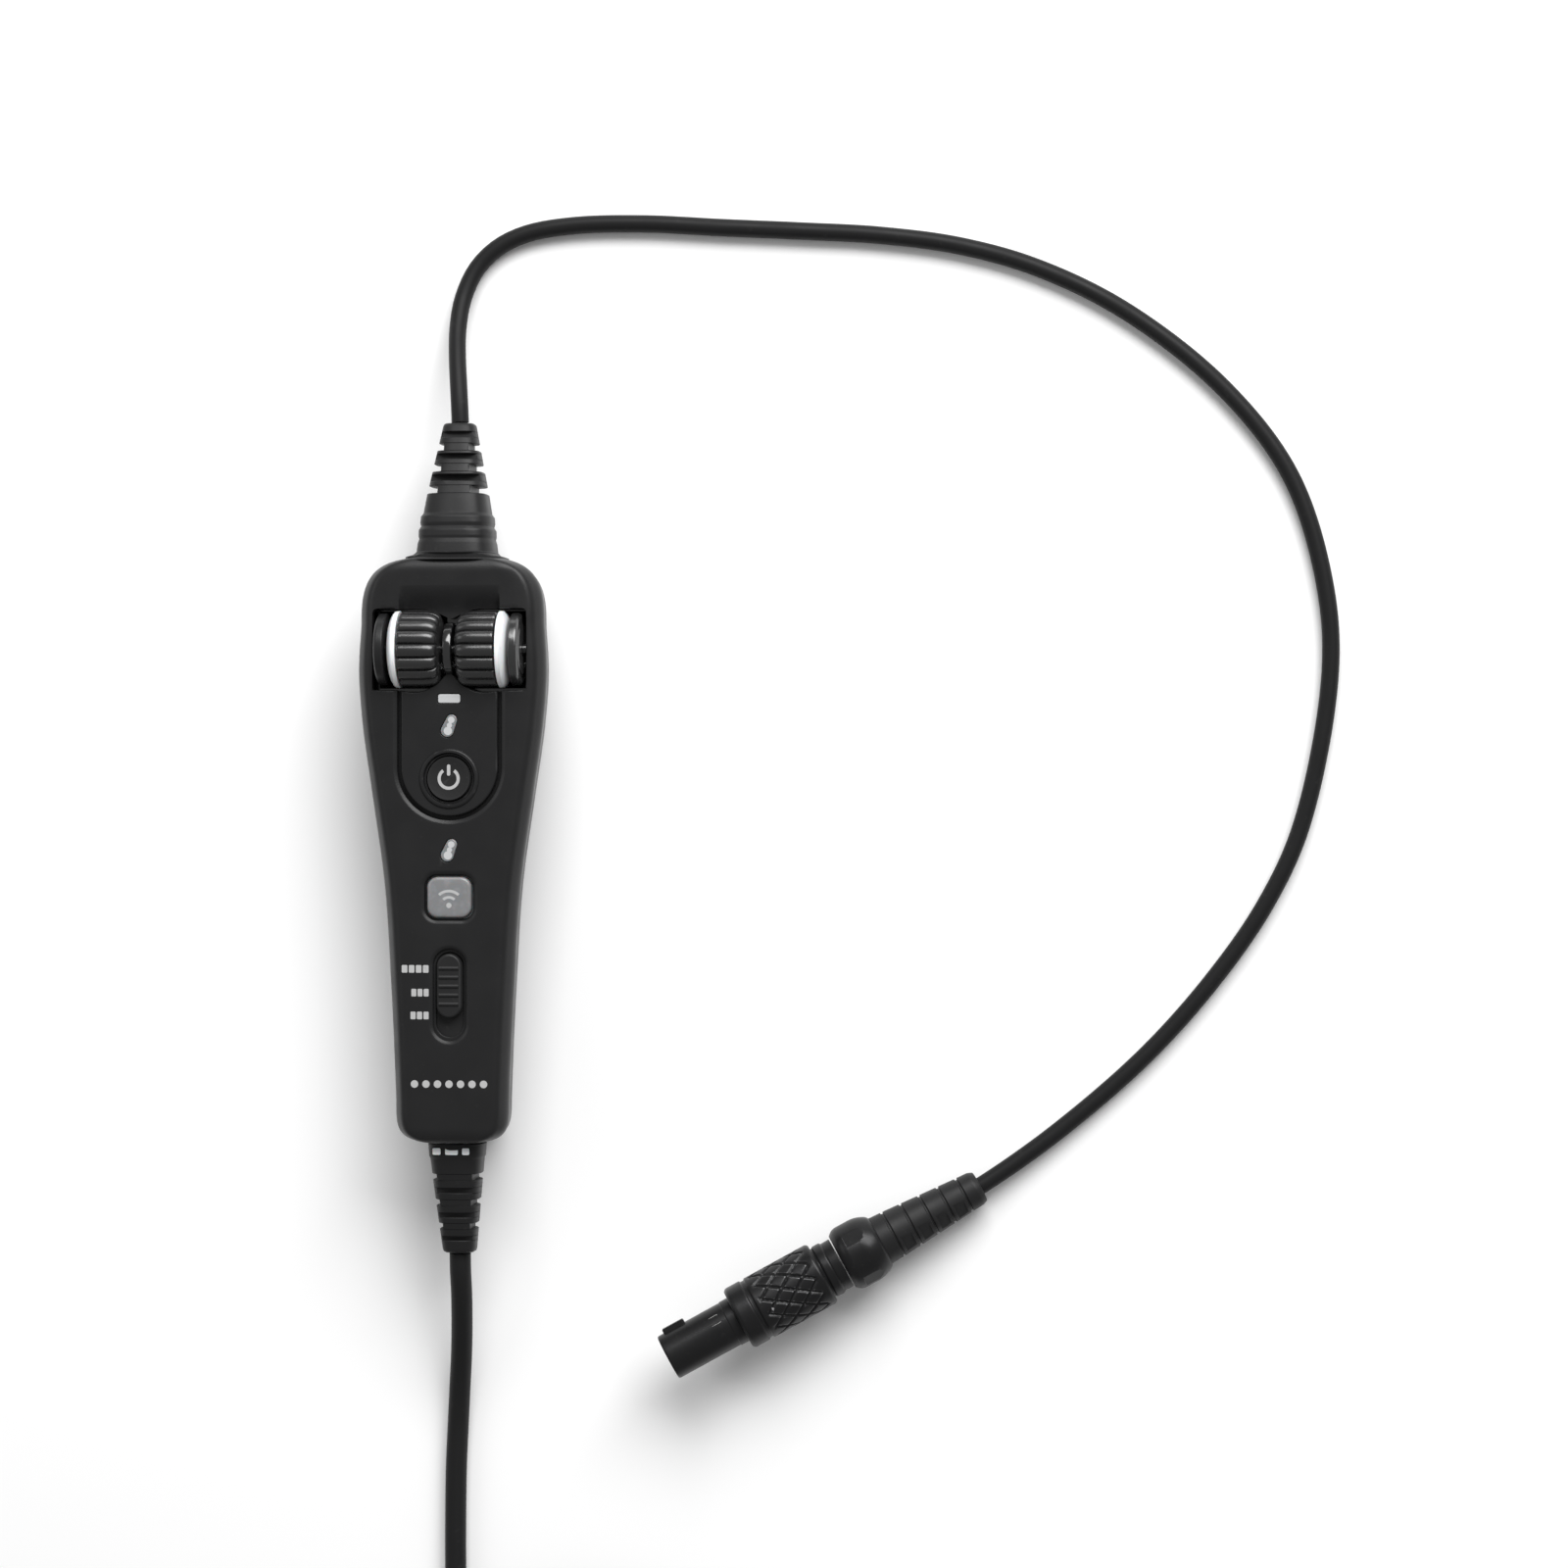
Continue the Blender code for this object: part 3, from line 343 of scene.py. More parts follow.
def circuit_board():
    """Green solder mask over copper runs."""
    made = Surface("circuit_board", (0.012, 0.11, 0.045), 0.38)
    runs = made.spread(made.waves(160, "X", 6.0), 0.0, 0.6, 0.45, 0.55)
    made.colour = made.mix(runs, made.colour, (0.03, 0.22, 0.09))
    pads = made.spread(made.cells(420), 1.0, 0.0, 0.16, 0.22)
    made.colour = made.mix(pads, made.colour, (0.6, 0.45, 0.2))
    made.bump(runs, 0.03)
    return made.done("circuit_board", Coat_Weight=0.3)


def battery_sleeve():
    """Printed shrink sleeve with a darker band near one end."""
    made = Surface("battery_sleeve", (0.05, 0.16, 0.36), 0.32)
    band = made.spread(made.waves(7, "Y"), 0.0, 1.0, 0.35, 0.4)
    made.colour = made.mix(band, made.colour, (0.30, 0.31, 0.32))
    made.bump(made.noise(300, 3), 0.02)
    made.speckle(500, (0.3, 0.3, 0.3), (0.66, 0.72), 0.3)
    return made.done("battery_sleeve", Coat_Weight=0.4, Coat_Roughness=0.15)


# Spark-eroded moulded plastic: a fine even grain and slightly polished edges.
SATIN = finish("satin_black", "satin_black_plastic", (0.0115, 0.0115, 0.0119), 0.36,
               [(3200, 2, 0.012), (2600, None, 0.006), (45, 2, 0.02)],
               (900, (0.02, 0.02, 0.021), (0.66, 0.72), 0.35), ((0.04, 0.04, 0.041), 0.5), IOR=1.33)
GLOSS = finish("gloss_black", "gloss_black_plastic", (0.006, 0.006, 0.0063), 0.13,
               [(70, 2, 0.01), (500, 3, 0.002, (1, 8, 1))], (1200, (0.08, 0.08, 0.08), (0.7, 0.74), 0.4),
               Coat_Weight=1.0, Coat_Roughness=0.1)
RUBBER = rubber("soft_rubber", (0.0095, 0.0095, 0.0098), 0.5, 0.28)
WHEEL_RUBBER = rubber("wheel_rubber", (0.008, 0.008, 0.0083), 0.27, 0.8)
# A shinier copy of the glossy plastic, only for the right volume drum so that it catches a brighter
# highlight; the left drum gets the matt SATIN as painted shade.
DRUM_GLOSS = rubber("drum_gloss", (0.010, 0.010, 0.0103), 0.22, 1.0, "gloss_black_plastic")
BOOT_RUBBER = rubber("boot_rubber", (0.0125, 0.0125, 0.0129), 0.45, 0.2)
WHITE = finish("white_plastic", "white_plastic", (0.80, 0.81, 0.82), 0.30, [(900, 2, 0.005)],
               (700, (0.6, 0.6, 0.58), (0.66, 0.72), 0.25),
               Subsurface_Weight=0.15, Subsurface_Scale=0.001, Coat_Weight=0.2)
# The milky inserts over the unlit status lights.
DIFFUSER = finish("light_diffuser", "white_plastic", (0.46, 0.465, 0.47), 0.35, [(1200, 2, 0.004)],
                  (800, (0.36, 0.36, 0.36), (0.6, 0.7), 0.3))
INK = finish("white_print", "white_plastic", (0.40, 0.40, 0.40), 0.45, [(2500, 3, 0.004)],
             (1500, (0.28, 0.28, 0.28), (0.6, 0.68), 0.35))
# Translucent, milky grey, with a moulded grain.
SMOKE = finish("smoke_grey", "smoke_grey_plastic", (0.18, 0.183, 0.188), 0.32,
               [(2600, 2, 0.006), (90, 2, 0.012)], (600, (0.26, 0.26, 0.27), (0.5, 0.7), 0.5),
               Subsurface_Weight=0.35, Subsurface_Scale=0.002, Coat_Weight=0.3, Coat_Roughness=0.2)
METAL = black_metal("black_anodised", 0.8)
SHELL_METAL = black_metal("connector_metal", 0.0)
STEEL = finish("plated_steel", "plated_steel", (0.58, 0.58, 0.57), 0.28, [(900, 3, 0.006, (6, 1, 1))],
               (400, (0.36, 0.34, 0.32), (0.58, 0.7), 0.5), metallic=1.0)
GOLD = finish("gold_plate", "gold_contact", (0.83, 0.60, 0.25), 0.24, [(1500, 3, 0.004)],
              (800, (0.6, 0.4, 0.16), (0.58, 0.7), 0.5), metallic=1.0)
# Extruded and semi-matt, with the faint unevenness of the wires inside.
JACKET = finish("cable_jacket", "cable_jacket", (0.0105, 0.0105, 0.0108), 0.48,
                [(1500, 3, 0.010), (110, 2, 0.05)], (500, (0.025, 0.025, 0.0245), (0.64, 0.72), 0.3),
                Specular_IOR_Level=0.14, Sheen_Weight=0.01, Sheen_Roughness=0.5)
BOARD = circuit_board()
SLEEVE = battery_sleeve()


# ---------------------------------------------------------------- mesh helpers

def mesh_object(bm, name, transform=None):
    """Turns a bmesh in millimetres into an object in metres."""
    if transform is not None:
        bmesh.ops.transform(bm, matrix=transform, verts=bm.verts)
    bmesh.ops.scale(bm, vec=(MM, MM, MM), verts=bm.verts)
    bmesh.ops.recalc_face_normals(bm, faces=bm.faces)
    mesh = bpy.data.meshes.new(name)
    bm.to_mesh(mesh)
    bm.free()
    made = bpy.data.objects.new(name, mesh)
    bpy.context.scene.collection.objects.link(made)
    return made


def piece(made, material, *nodes, body="module", slot=None):
    """Gives a finished shape its material and its body, and hides the CAD nodes that it stands for. The slot
    is not used.
    """
    made.data.materials.clear()
    made.data.materials.append(material)
    if made.type == "MESH":
        made.data.shade_smooth()
        made.data.set_sharp_from_angle(angle=SHARP_ANGLE)
        made.modifiers.new("even_shading", "WEIGHTED_NORMAL").keep_sharp = True
    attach(made, body)
    if nodes:
        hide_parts(*nodes)
    return made


def skin(name, rings, transform=None, joined=False):
    """A skin through closed rings with equal numbers of points. Its ends are capped, or joined together."""
    bm = bmesh.new()
    rows = [[bm.verts.new(point) for point in ring] for ring in rings]
    count = len(rows[0])
    pairs = list(zip(rows, rows[1:]))
    if joined:
        pairs.append((rows[-1], rows[0]))
    for row, after in pairs:
        for i in range(count):
            j = (i + 1) % count
            bm.faces.new((row[i], row[j], after[j], after[i]))
    if not joined:
        bm.faces.new(rows[0])
        bm.faces.new(rows[-1])
    return mesh_object(bm, name, transform)


def turned(name, corners, transform, sides=64, closed=False, count=5):
    """A profile of (radius, height), filleted where a corner has a size, turned about the frame's Z."""
    angles = np.linspace(0, 2 * math.pi, sides, endpoint=False)
    rings = []
    for radius, height in fillet(corners, closed, count):
        radius = max(radius, AXIS_HOLE)
        rings.append([(radius * math.cos(a), radius * math.sin(a), height) for a in angles])
    return skin(name, rings, transform, joined=closed)


def prism(name, outline_at, levels):
    """A solid whose outline changes with height: levels are (height, offset of the outline)."""
    return skin(name, [[(x, y, z) for x, y in outline_at(offset)] for z, offset in levels])


def square_prism(name, centre, size, radius, levels, count=9):
    return prism(name, lambda grow: round_square(centre, size, radius, grow, count), levels)


def light_prism(name, y, grow, levels):
    """A solid with the outline of a status light."""
    return prism(name, lambda more: drop_pair((0, y), grow + more), levels)


def slab(name, outline, bottom, top):
    return prism(name, lambda _: outline, ((bottom, 0), (top, 0)))


def bar_across(name, profile, reach):
    """A bar of (y, z) section that reaches equally far to both sides."""
    return skin(name, [[(x, y, z) for y, z in profile] for x in (-reach, reach)])


def hole_levels(floor, top, edge):
    """The levels of a cutter that leaves a rounded edge at the surface."""
    angles = np.radians(np.linspace(0, 90, 5))
    levels = [(top - edge * (1 - math.sin(a)), edge * (1 - math.cos(a))) for a in angles]
    return [(floor, 0.0), *levels, (top + 0.05, edge + 0.01), (top + 4, edge + 0.02)]


def mouth_levels(floor, top, width):
    """The levels of a cutter whose mouth is a soft slope of about 27 degrees, this wide."""
    steps = ((-0.52, 0.0), (-0.46, 0.04), (-0.38, 0.14), (-0.10, 0.72), (-0.03, 0.92), (0.0, 1.1))
    return ([(floor, 0.0)] + [(top + z * width, out * width) for z, out in steps]
            + [(top + 0.05, 1.3 * width), (top + 4, 1.3 * width + 0.01)])


def slab_levels(bottom, top, edge):
    """The levels of a flat piece with a rounded upper edge."""
    angles = np.radians(np.linspace(0, 90, 6))
    return [(bottom, 0.0)] + [(top - edge * (1 - math.sin(a)), -edge * (1 - math.cos(a))) for a in angles]


def block(name, lowest, highest):
    bm = bmesh.new()
    size = Vector(highest) - Vector(lowest)
    centre = (Vector(highest) + Vector(lowest)) / 2
    bmesh.ops.create_cube(bm, size=1.0, matrix=Matrix.Translation(centre) @ Matrix.Diagonal((*size, 1.0)))
    return mesh_object(bm, name)


def rod(name, start, end, radius, sides=48):
    bm = bmesh.new()
    run = Vector(end) - Vector(start)
    turn = run.to_track_quat("Z", "Y").to_matrix().to_4x4()
    bmesh.ops.create_cone(bm, cap_ends=True, segments=sides, radius1=radius, radius2=radius,
                          depth=run.length)
    return mesh_object(bm, name, Matrix.Translation((Vector(start) + Vector(end)) / 2) @ turn)


def in_frame(made, frame_here):
    """Moves a finished object's mesh by a frame given in millimetres."""
    made.data.transform(Matrix.Scale(MM, 4) @ frame_here @ Matrix.Scale(1 / MM, 4))
    return made


def settle(made):
    """Replaces an object's mesh with what its modifiers make of it."""
    bpy.context.view_layer.update()
    graph = bpy.context.evaluated_depsgraph_get()
    mesh = bpy.data.meshes.new_from_object(made.evaluated_get(graph))
    old = made.data
    made.modifiers.clear()
    made.data = mesh
    bpy.data.meshes.remove(old)
    mesh.name = made.name


def combine(target, tools, operation):
    for tool in tools:
        modifier = target.modifiers.new(operation, "BOOLEAN")
        modifier.operation = operation
        modifier.solver = "MANIFOLD"
        modifier.object = tool
        settle(target)
        if not target.data.polygons:
            raise RuntimeError(f"{tool.name} left nothing of {target.name}")
        bpy.data.objects.remove(tool, do_unlink=True)
    weld = target.modifiers.new("weld", "WELD")
    weld.merge_threshold = WELD_DISTANCE
    settle(target)
    return target


def cut(target, *tools):
    return combine(target, tools, "DIFFERENCE")


def join(target, *tools):
    return combine(target, tools, "UNION")


def trim(target, *tools):
    return combine(target, tools, "INTERSECT")


def line(name, points, radius, *nodes):
    """A round cord along points in millimetres."""
    curve = bpy.data.curves.new(name, "CURVE")
    curve.dimensions = "3D"
    curve.bevel_depth = radius * MM
    curve.bevel_resolution = 6
    curve.use_fill_caps = True
    spline = curve.splines.new("POLY")
    spline.points.add(len(points) - 1)
    for target, point in zip(spline.points, points):
        target.co = (*[value * MM for value in point], 1.0)
    made = bpy.data.objects.new(name, curve)
    bpy.context.scene.collection.objects.link(made)
    return piece(made, JACKET, *nodes)


# ---------------------------------------------------------------- outlines and curves

def ease(value, start, end):
    t = min(1.0, max(0.0, (value - start) / (end - start)))
    return t * t * (3 - 2 * t)


def arc(centre, radius, start, end, count):
    return [(centre[0] + radius * math.cos(a), centre[1] + radius * math.sin(a))
            for a in np.radians(np.linspace(start, end, count))]


def circle(centre, radius, count):
    return arc(centre, radius, 0, 360, count + 1)[:-1]


def stadium(centre, size, grow, count=17):
    radius = size[0] / 2 + grow
    reach = (size[1] - size[0]) / 2
    return (arc((centre[0], centre[1] + reach), radius, 0, 180, count)
            + arc((centre[0], centre[1] - reach), radius, 180, 360, count))


def round_square(centre, size, radius, grow=0.0, count=9):
    outline = []
    for quarter, (sx, sy) in enumerate(((1, 1), (-1, 1), (-1, -1), (1, -1))):
        corner = (centre[0] + sx * (size[0] / 2 - radius), centre[1] + sy * (size[1] / 2 - radius))
        outline += arc(corner, max(0.05, radius + grow), 90 * quarter, 90 * quarter + 90, count)
    return outline


def drop_pair(centre, grow, count=13):
    """The outline round a small disc above and to the right of a larger one."""
    upper = (centre[0] + 0.55, centre[1] + 1.3)
    lower = (centre[0] - 0.45, centre[1] - 1.1)
    lean = math.degrees(math.atan2(upper[1] - lower[1], upper[0] - lower[0]))
    return (arc(upper, 0.95 + grow, lean - 90, lean + 90, count)
            + arc(lower, 1.2 + grow, lean + 90, lean + 270, count))


def mirrored(right):
    """An outline whose left half mirrors its right half."""
    return right + [(-x, y) for x, y in reversed(right)]


def hermite(first, last, slope_in, slope_out, t):
    return ((2 * t**3 - 3 * t**2 + 1) * first + (t**3 - 2 * t**2 + t) * slope_in
            + (-2 * t**3 + 3 * t**2) * last + (t**3 - t**2) * slope_out)


def with_ends(points):
    """The points as an array, with one more beyond each end."""
    knots = np.array(points, float)
    return np.vstack([2 * knots[0] - knots[1], knots, 2 * knots[-1] - knots[-2]])


def evenly(dense, count=None, spacing=1.0):
    """Points along a dense polyline: this many, or about one spacing apart."""
    dense = np.array(dense)
    run = np.concatenate([[0], np.cumsum(np.linalg.norm(np.diff(dense, axis=0), axis=1))])
    wanted = np.linspace(0, run[-1], count or max(3, round(run[-1] / spacing) + 1))
    return [tuple(np.interp(w, run, dense[:, axis]) for axis in range(dense.shape[1])) for w in wanted]


def along_curve(points, count):
    """Evenly spaced points on a smooth curve through the given ones."""
    knots = with_ends(points)
    dense = [hermite(b, c, (c - a) / 2, (d - b) / 2, t)
             for a, b, c, d in zip(knots, knots[1:], knots[2:], knots[3:])
             for t in np.linspace(0, 1, 16, endpoint=False)]
    return evenly([*dense, knots[-2]], count)


def smooth(points, spacing):
    """Points along a smooth curve through unevenly spaced ones, without overshoot between close ones."""
    ends = with_ends(points)
    steps = np.sqrt(np.linalg.norm(np.diff(ends, axis=0), axis=1))
    dense = []
    for i in range(1, len(ends) - 2):
        before, step, after = steps[i - 1], steps[i], steps[i + 1]
        middle_slope = (ends[i + 1] - ends[i]) / step
        slope_in = (ends[i] - ends[i - 1]) / before - (ends[i + 1] - ends[i - 1]) / (before + step)
        slope_out = (ends[i + 2] - ends[i + 1]) / after - (ends[i + 2] - ends[i]) / (step + after)
        slopes = (step * (slope_in + middle_slope), step * (slope_out + middle_slope))
        dense += [hermite(ends[i], ends[i + 1], *slopes, t) for t in np.linspace(0, 1, 24, endpoint=False)]
    return evenly([*dense, ends[-2]], spacing=spacing)


def fillet(corners, closed=False, count=5):
    """A polyline with its corners rounded: each corner is (u, v) or (u, v, size)."""
    points = []
    total = len(corners)
    for i, corner in enumerate(corners):
        here = np.array(corner[:2], float)
        size = corner[2] if len(corner) > 2 else 0.0
        if size == 0 or (not closed and i in (0, total - 1)):
            points.append(tuple(here))
            continue
        before = np.array(corners[i - 1][:2], float) - here
        after = np.array(corners[(i + 1) % total][:2], float) - here
        start = here + before * size / np.linalg.norm(before)
        end = here + after * size / np.linalg.norm(after)
        for t in np.linspace(0, 1, count):
            points.append(tuple((1 - t) ** 2 * start + 2 * t * (1 - t) * here + t**2 * end))
    return points


# ---------------------------------------------------------------- cords

def coil_strand():
    """The headset cord's turns: three on the floor spiralling inwards, then one and a quarter on top.

    Each turn steps across to its neighbour in one sector just before the point where the cord comes in.
    """
    pitch = 2 * HEADSET_CORD_RADIUS
    ground = COIL_LIFT + HEADSET_CORD_RADIUS
    nest = math.sqrt(pitch**2 - (pitch / 2) ** 2)
    outer = COIL_RADIUS + pitch
    points = []
    for degrees in range(180, 180 + 360 * 4 + 91, 6):
        turn, angle = divmod(degrees - 180, 360)
        back = 360 - angle  # degrees left before the point where the cord comes in
        if turn <= 1:
            radius, height = outer - pitch * (turn + 1 - ease(back, 5, 75)), ground
        elif turn == 2:
            climb = math.radians(60 * (1 - ease(back, 90, 160)))
            radius, height = COIL_RADIUS - pitch * math.cos(climb), ground + pitch * math.sin(climb)
        elif turn == 3:
            across = 1 - ease(back, 165, 235)
            radius = COIL_RADIUS - pitch / 2 + pitch * across
            height = ground + nest + (pitch - nest) * math.sin(math.pi * across)
        else:
            radius, height = COIL_RADIUS + pitch / 2, ground + nest
        if turn >= 2 and back < 90:
            height += 0.75 * math.sin(math.pi * min(1.0, back / 80))
        points.append((*arc(COIL_CENTRE, radius, degrees, degrees, 1)[0], height))
    return points


def cords():
    plug_points = smooth(PLUG_CORD_ROUTE, CORD_SPACING)
    made = line("plug_cord_jacket", plug_points, PLUG_CORD_RADIUS, "plug_cord")

    headset_points = smooth((*HEADSET_CORD_ROUTE, *coil_strand(), *CONNECTOR_CORD_ROUTE), CORD_SPACING)
    made = line("headset_cord_jacket", headset_points, HEADSET_CORD_RADIUS,
                "headset_cord", "headset_cord_coil", "headset_cord_tail")


def coil_tie():
    """A hook-and-loop strap round the coil, with its free end lapped over the top."""
    inner = COIL_RADIUS - 3 * HEADSET_CORD_RADIUS - 0.6
    outer = COIL_RADIUS + 3 * HEADSET_CORD_RADIUS + 0.6
    top = COIL_LIFT + 3.9 * HEADSET_CORD_RADIUS + 0.3
    side, half_thickness = 4.5, 0.25
    here = Matrix.Translation((*COIL_CENTRE, 0)) @ Matrix.Rotation(math.radians(20), 4, "Z")
    loop = fillet([(outer, 0.35, 1.6), (outer, 6.0, 1.8), (outer - 3.2, top, 2.0), (inner + 3.2, top, 2.0),
                   (inner, 6.0, 1.8), (inner, 0.35, 1.6)], closed=True, count=7)
    middle_point = np.array([(outer + inner) / 2, 5.0])
    rings = []
    for u, v in loop:
        out = np.array([u, v]) - middle_point
        out *= half_thickness / np.linalg.norm(out)
        rings.append([(u - out[0], -side, v - out[1]), (u + out[0], -side, v + out[1]),
                      (u + out[0], side, v + out[1]), (u - out[0], side, v - out[1])])
    strap = skin("coil_tie", rings, here, joined=True)
    lap = [(u, v + 0.75) for u, v in loop[12:26]]
    tab = []
    for i, (u, v) in enumerate(lap):
        reach = side * (1.0 if i < len(lap) - 3 else 0.8)
        tab.append([(u, -reach, v - 0.3), (u, -reach, v + 0.2), (u, reach, v + 0.2), (u, reach, v - 0.3)])
    join(strap, skin("tab", tab, here))
    piece(strap, RUBBER)


# ---------------------------------------------------------------- housing shape

def half_width(y):
    """The housing's widest half-width at a station along it."""
    stations, widths = np.array(HALF_WIDTHS, float).T
    slopes = np.gradient(widths, stations)
    slopes[0] = slopes[1] * 0.6
    i = min(len(stations) - 2, max(0, int(np.searchsorted(stations, y)) - 1))
    span = stations[i + 1] - stations[i]
    t = min(1.0, max(0.0, (y - stations[i]) / span))
    width = hermite(widths[i], widths[i + 1], span * slopes[i], span * slopes[i + 1], t)
    near_top = max(0.0, (y - stations[-1]) / (TOP_END - stations[-1]))
    near_bottom = max(0.0, (stations[0] - y) / (stations[0] - BOTTOM_END))
    return width * max(0.0, 1 - near_top**3) ** 0.25 * max(0.0, 1 - near_bottom**4) ** 0.25


def end_rounding(y):
    """0 along the housing, rising to 1 over a quarter circle at each end."""
    room = min(TOP_END - y, y - BOTTOM_END)
    depth = min(1.0, max(0.0, 1 - room / END_REACH))
    return 1 - math.sqrt(1 - depth**2)


def scoop(y):
    """How far the back is hollowed under the fingers."""
    return SCOOP_DEPTH * (1 - ease(y, *SCOOP_TOP)) * ease(y, *SCOOP_BOTTOM)


def spaced(start, end, count):
    """Points strictly between two others."""
    return [tuple(np.array(start) + (np.array(end) - np.array(start)) * i / (count + 1))
            for i in range(1, count + 1)]


def housing_section(y, side, front, back, scooped, seam):
    """The housing's outline across X and Z at one station, moved inwards by three wall thicknesses."""
    full_width = half_width(y)
    scale = min(1.0, full_width / 12.5)
    width = full_width - side
    rounding = end_rounding(y)
    top = FACE_Z - 2.4 * rounding - front
    bottom = (scoop(y) if scooped else 0.0) + 4.5 * rounding + back
    outline = [
        (0, top),
        (width - FACE_INSET * scale, top, 1.2 * scale),
        (width, top - RIM_DROP + front / 2, 1.6),
        (width - BELLY_INSET * scale, BELLY_Z, 2.5),
        (width - BACK_INSET * scale, bottom, 3.2 * scale),
        (0, bottom),
    ]
    bends = [fillet(outline[i - 1:i + 2], count=7)[1:-1] for i in range(1, 5)]
    points = [(0.0, top), *spaced((0, top), bends[0][0], 20), *bends[0],
              *spaced(bends[0][-1], bends[1][0], 2), *bends[1]]

    # The side wall is straight, with closely spaced heights at the seam.
    start, end = bends[1][-1], bends[2][0]
    seam_heights = [PARTING_Z + step for step in (0.8, 0.5, 0.35, 0.2, 0.05, -0.05, -0.2, -0.35, -0.5, -0.8)]
    above, below = start[1] - seam_heights[0], seam_heights[-1] - end[1]
    heights = ([start[1] - above * i / 4 for i in range(1, 4)] + seam_heights
               + [seam_heights[-1] - below * i / 5 for i in range(1, 5)])
    for z in heights:
        x = start[0] + (end[0] - start[0]) * (start[1] - z) / (start[1] - end[1])
        points.append((x - seam * max(0.0, 1 - abs(z - PARTING_Z) / 0.5), z))
    points += [*bends[2], *spaced(bends[2][-1], bends[3][0], 4), *bends[3],
               *spaced(bends[3][-1], (0, bottom), 10), (0.0, bottom)]

    rolled = []
    for x, z in points:
        out = max(0.0, (x / max(width, 0.1) - SHOULDER_START) / (1 - SHOULDER_START))
        upper = max(0.0, (z - BELLY_Z) / (top - BELLY_Z))
        rolled.append((x, z - SHOULDER_DROP * min(1.0, out) ** 2 * upper))
    return rolled + [(-x, z) for x, z in reversed(rolled[1:-1])]


def housing_loft(name, side=0.0, front=0.0, back=0.0, scooped=True, seam=0.0, count=60):
    """The housing as one closed skin. Its stations lie closer together towards the ends."""
    centre = (TOP_END + BOTTOM_END) / 2
    shrink = 1 - side / (TOP_END - centre)
    rings = []
    for t in np.linspace(0, math.pi, count):
        y = centre - (TOP_END - centre - 0.04) * math.cos(t)
        ring = housing_section(y, side, front, back, scooped, seam)
        rings.append([(x, centre + (y - centre) * shrink, z) for x, z in ring])
    return skin(name, rings)


def housing_shell(name, low_z, high_z):
    shell = housing_loft(name, seam=SEAM_DEPTH, count=120)
    cut(shell, housing_loft("hollow", SIDE_WALL, FRONT_WALL, SIDE_WALL))
    return trim(shell, block("part", (-40, -90, low_z), (40, 90, high_z)))


# ---------------------------------------------------------------- front of the housing

def panel_outline(half_width_here, grow, top_y, cusp=False):
    """A U shape: straight sides and a half-round bottom, with a flat top or with a cusp in its top edge."""
    half = half_width_here + grow
    heights = np.linspace(PANEL_CENTRE_Y, top_y + grow, 8)[1:-1]
    top = [(half, top_y + grow)]
    if cusp:
        scallop = along_curve(((half, top_y), (7.6, top_y - 0.2), (5.4, top_y + 0.2), (3.0, top_y + 1.5),
                               (1.3, top_y + 3.1), (0.25, CUSP_Y)), 22)
        top = [(x, y + grow) for x, y in scallop]
    return (arc((0, PANEL_CENTRE_Y), half, 180, 360, 49)
            + mirrored([(half, y) for y in heights] + top))


def window_outline(grow):
    """The wheels' opening. Its upper edge is scalloped over each wheel, with a cusp between them."""
    side_x, (bottom_y, top_y) = WINDOW_X, WINDOW_Y
    right = [(side_x + grow, bottom_y - grow)]
    right += [(side_x + grow, y) for y in np.linspace(bottom_y, top_y - 1.2, 12)]
    right += arc((side_x - 1.0, top_y - 1.0), 1.0 + grow, 10, 90, 5)
    right += [(x, top_y + grow) for x in (15.0, 13.5, 12.2)]
    right += along_curve(((11.0, top_y + 0.05), (7.8, top_y + 0.1), (5.2, top_y - 0.1), (3.2, top_y - 0.75),
                          (1.6, top_y - 1.45), (0.2, top_y - 2.1)), 18)
    return mirrored(right)


def hood_cutter():
    """The hollow above the wheels: it starts flush with the face and falls towards the opening."""
    rows = []
    for y in np.linspace(HOOD_Y[1], HOOD_Y[0] - 1, 30):
        drop = HOOD_DEPTH * ease(y, HOOD_Y[1], HOOD_Y[0] + 1)
        ring = []
        for t in np.linspace(-1, 1, 49):
            wall = min(1.0, (1 - abs(t)) * HOOD_X / 1.2)
            ring.append((HOOD_X * t, y, FACE_Z + 0.02 - drop * math.sin(math.pi / 2 * wall)))
        rows.append([*ring, (HOOD_X, y, FACE_Z + 4), (-HOOD_X, y, FACE_Z + 4)])
    return skin("hood", rows)


def boot_holes():
    return [rod(f"boot_hole_{i}", (0, y, BOOT_Z), (0, y + 8, BOOT_Z), 4.3)
            for i, y in enumerate((TOP_END - 6, BOTTOM_END - 2))]


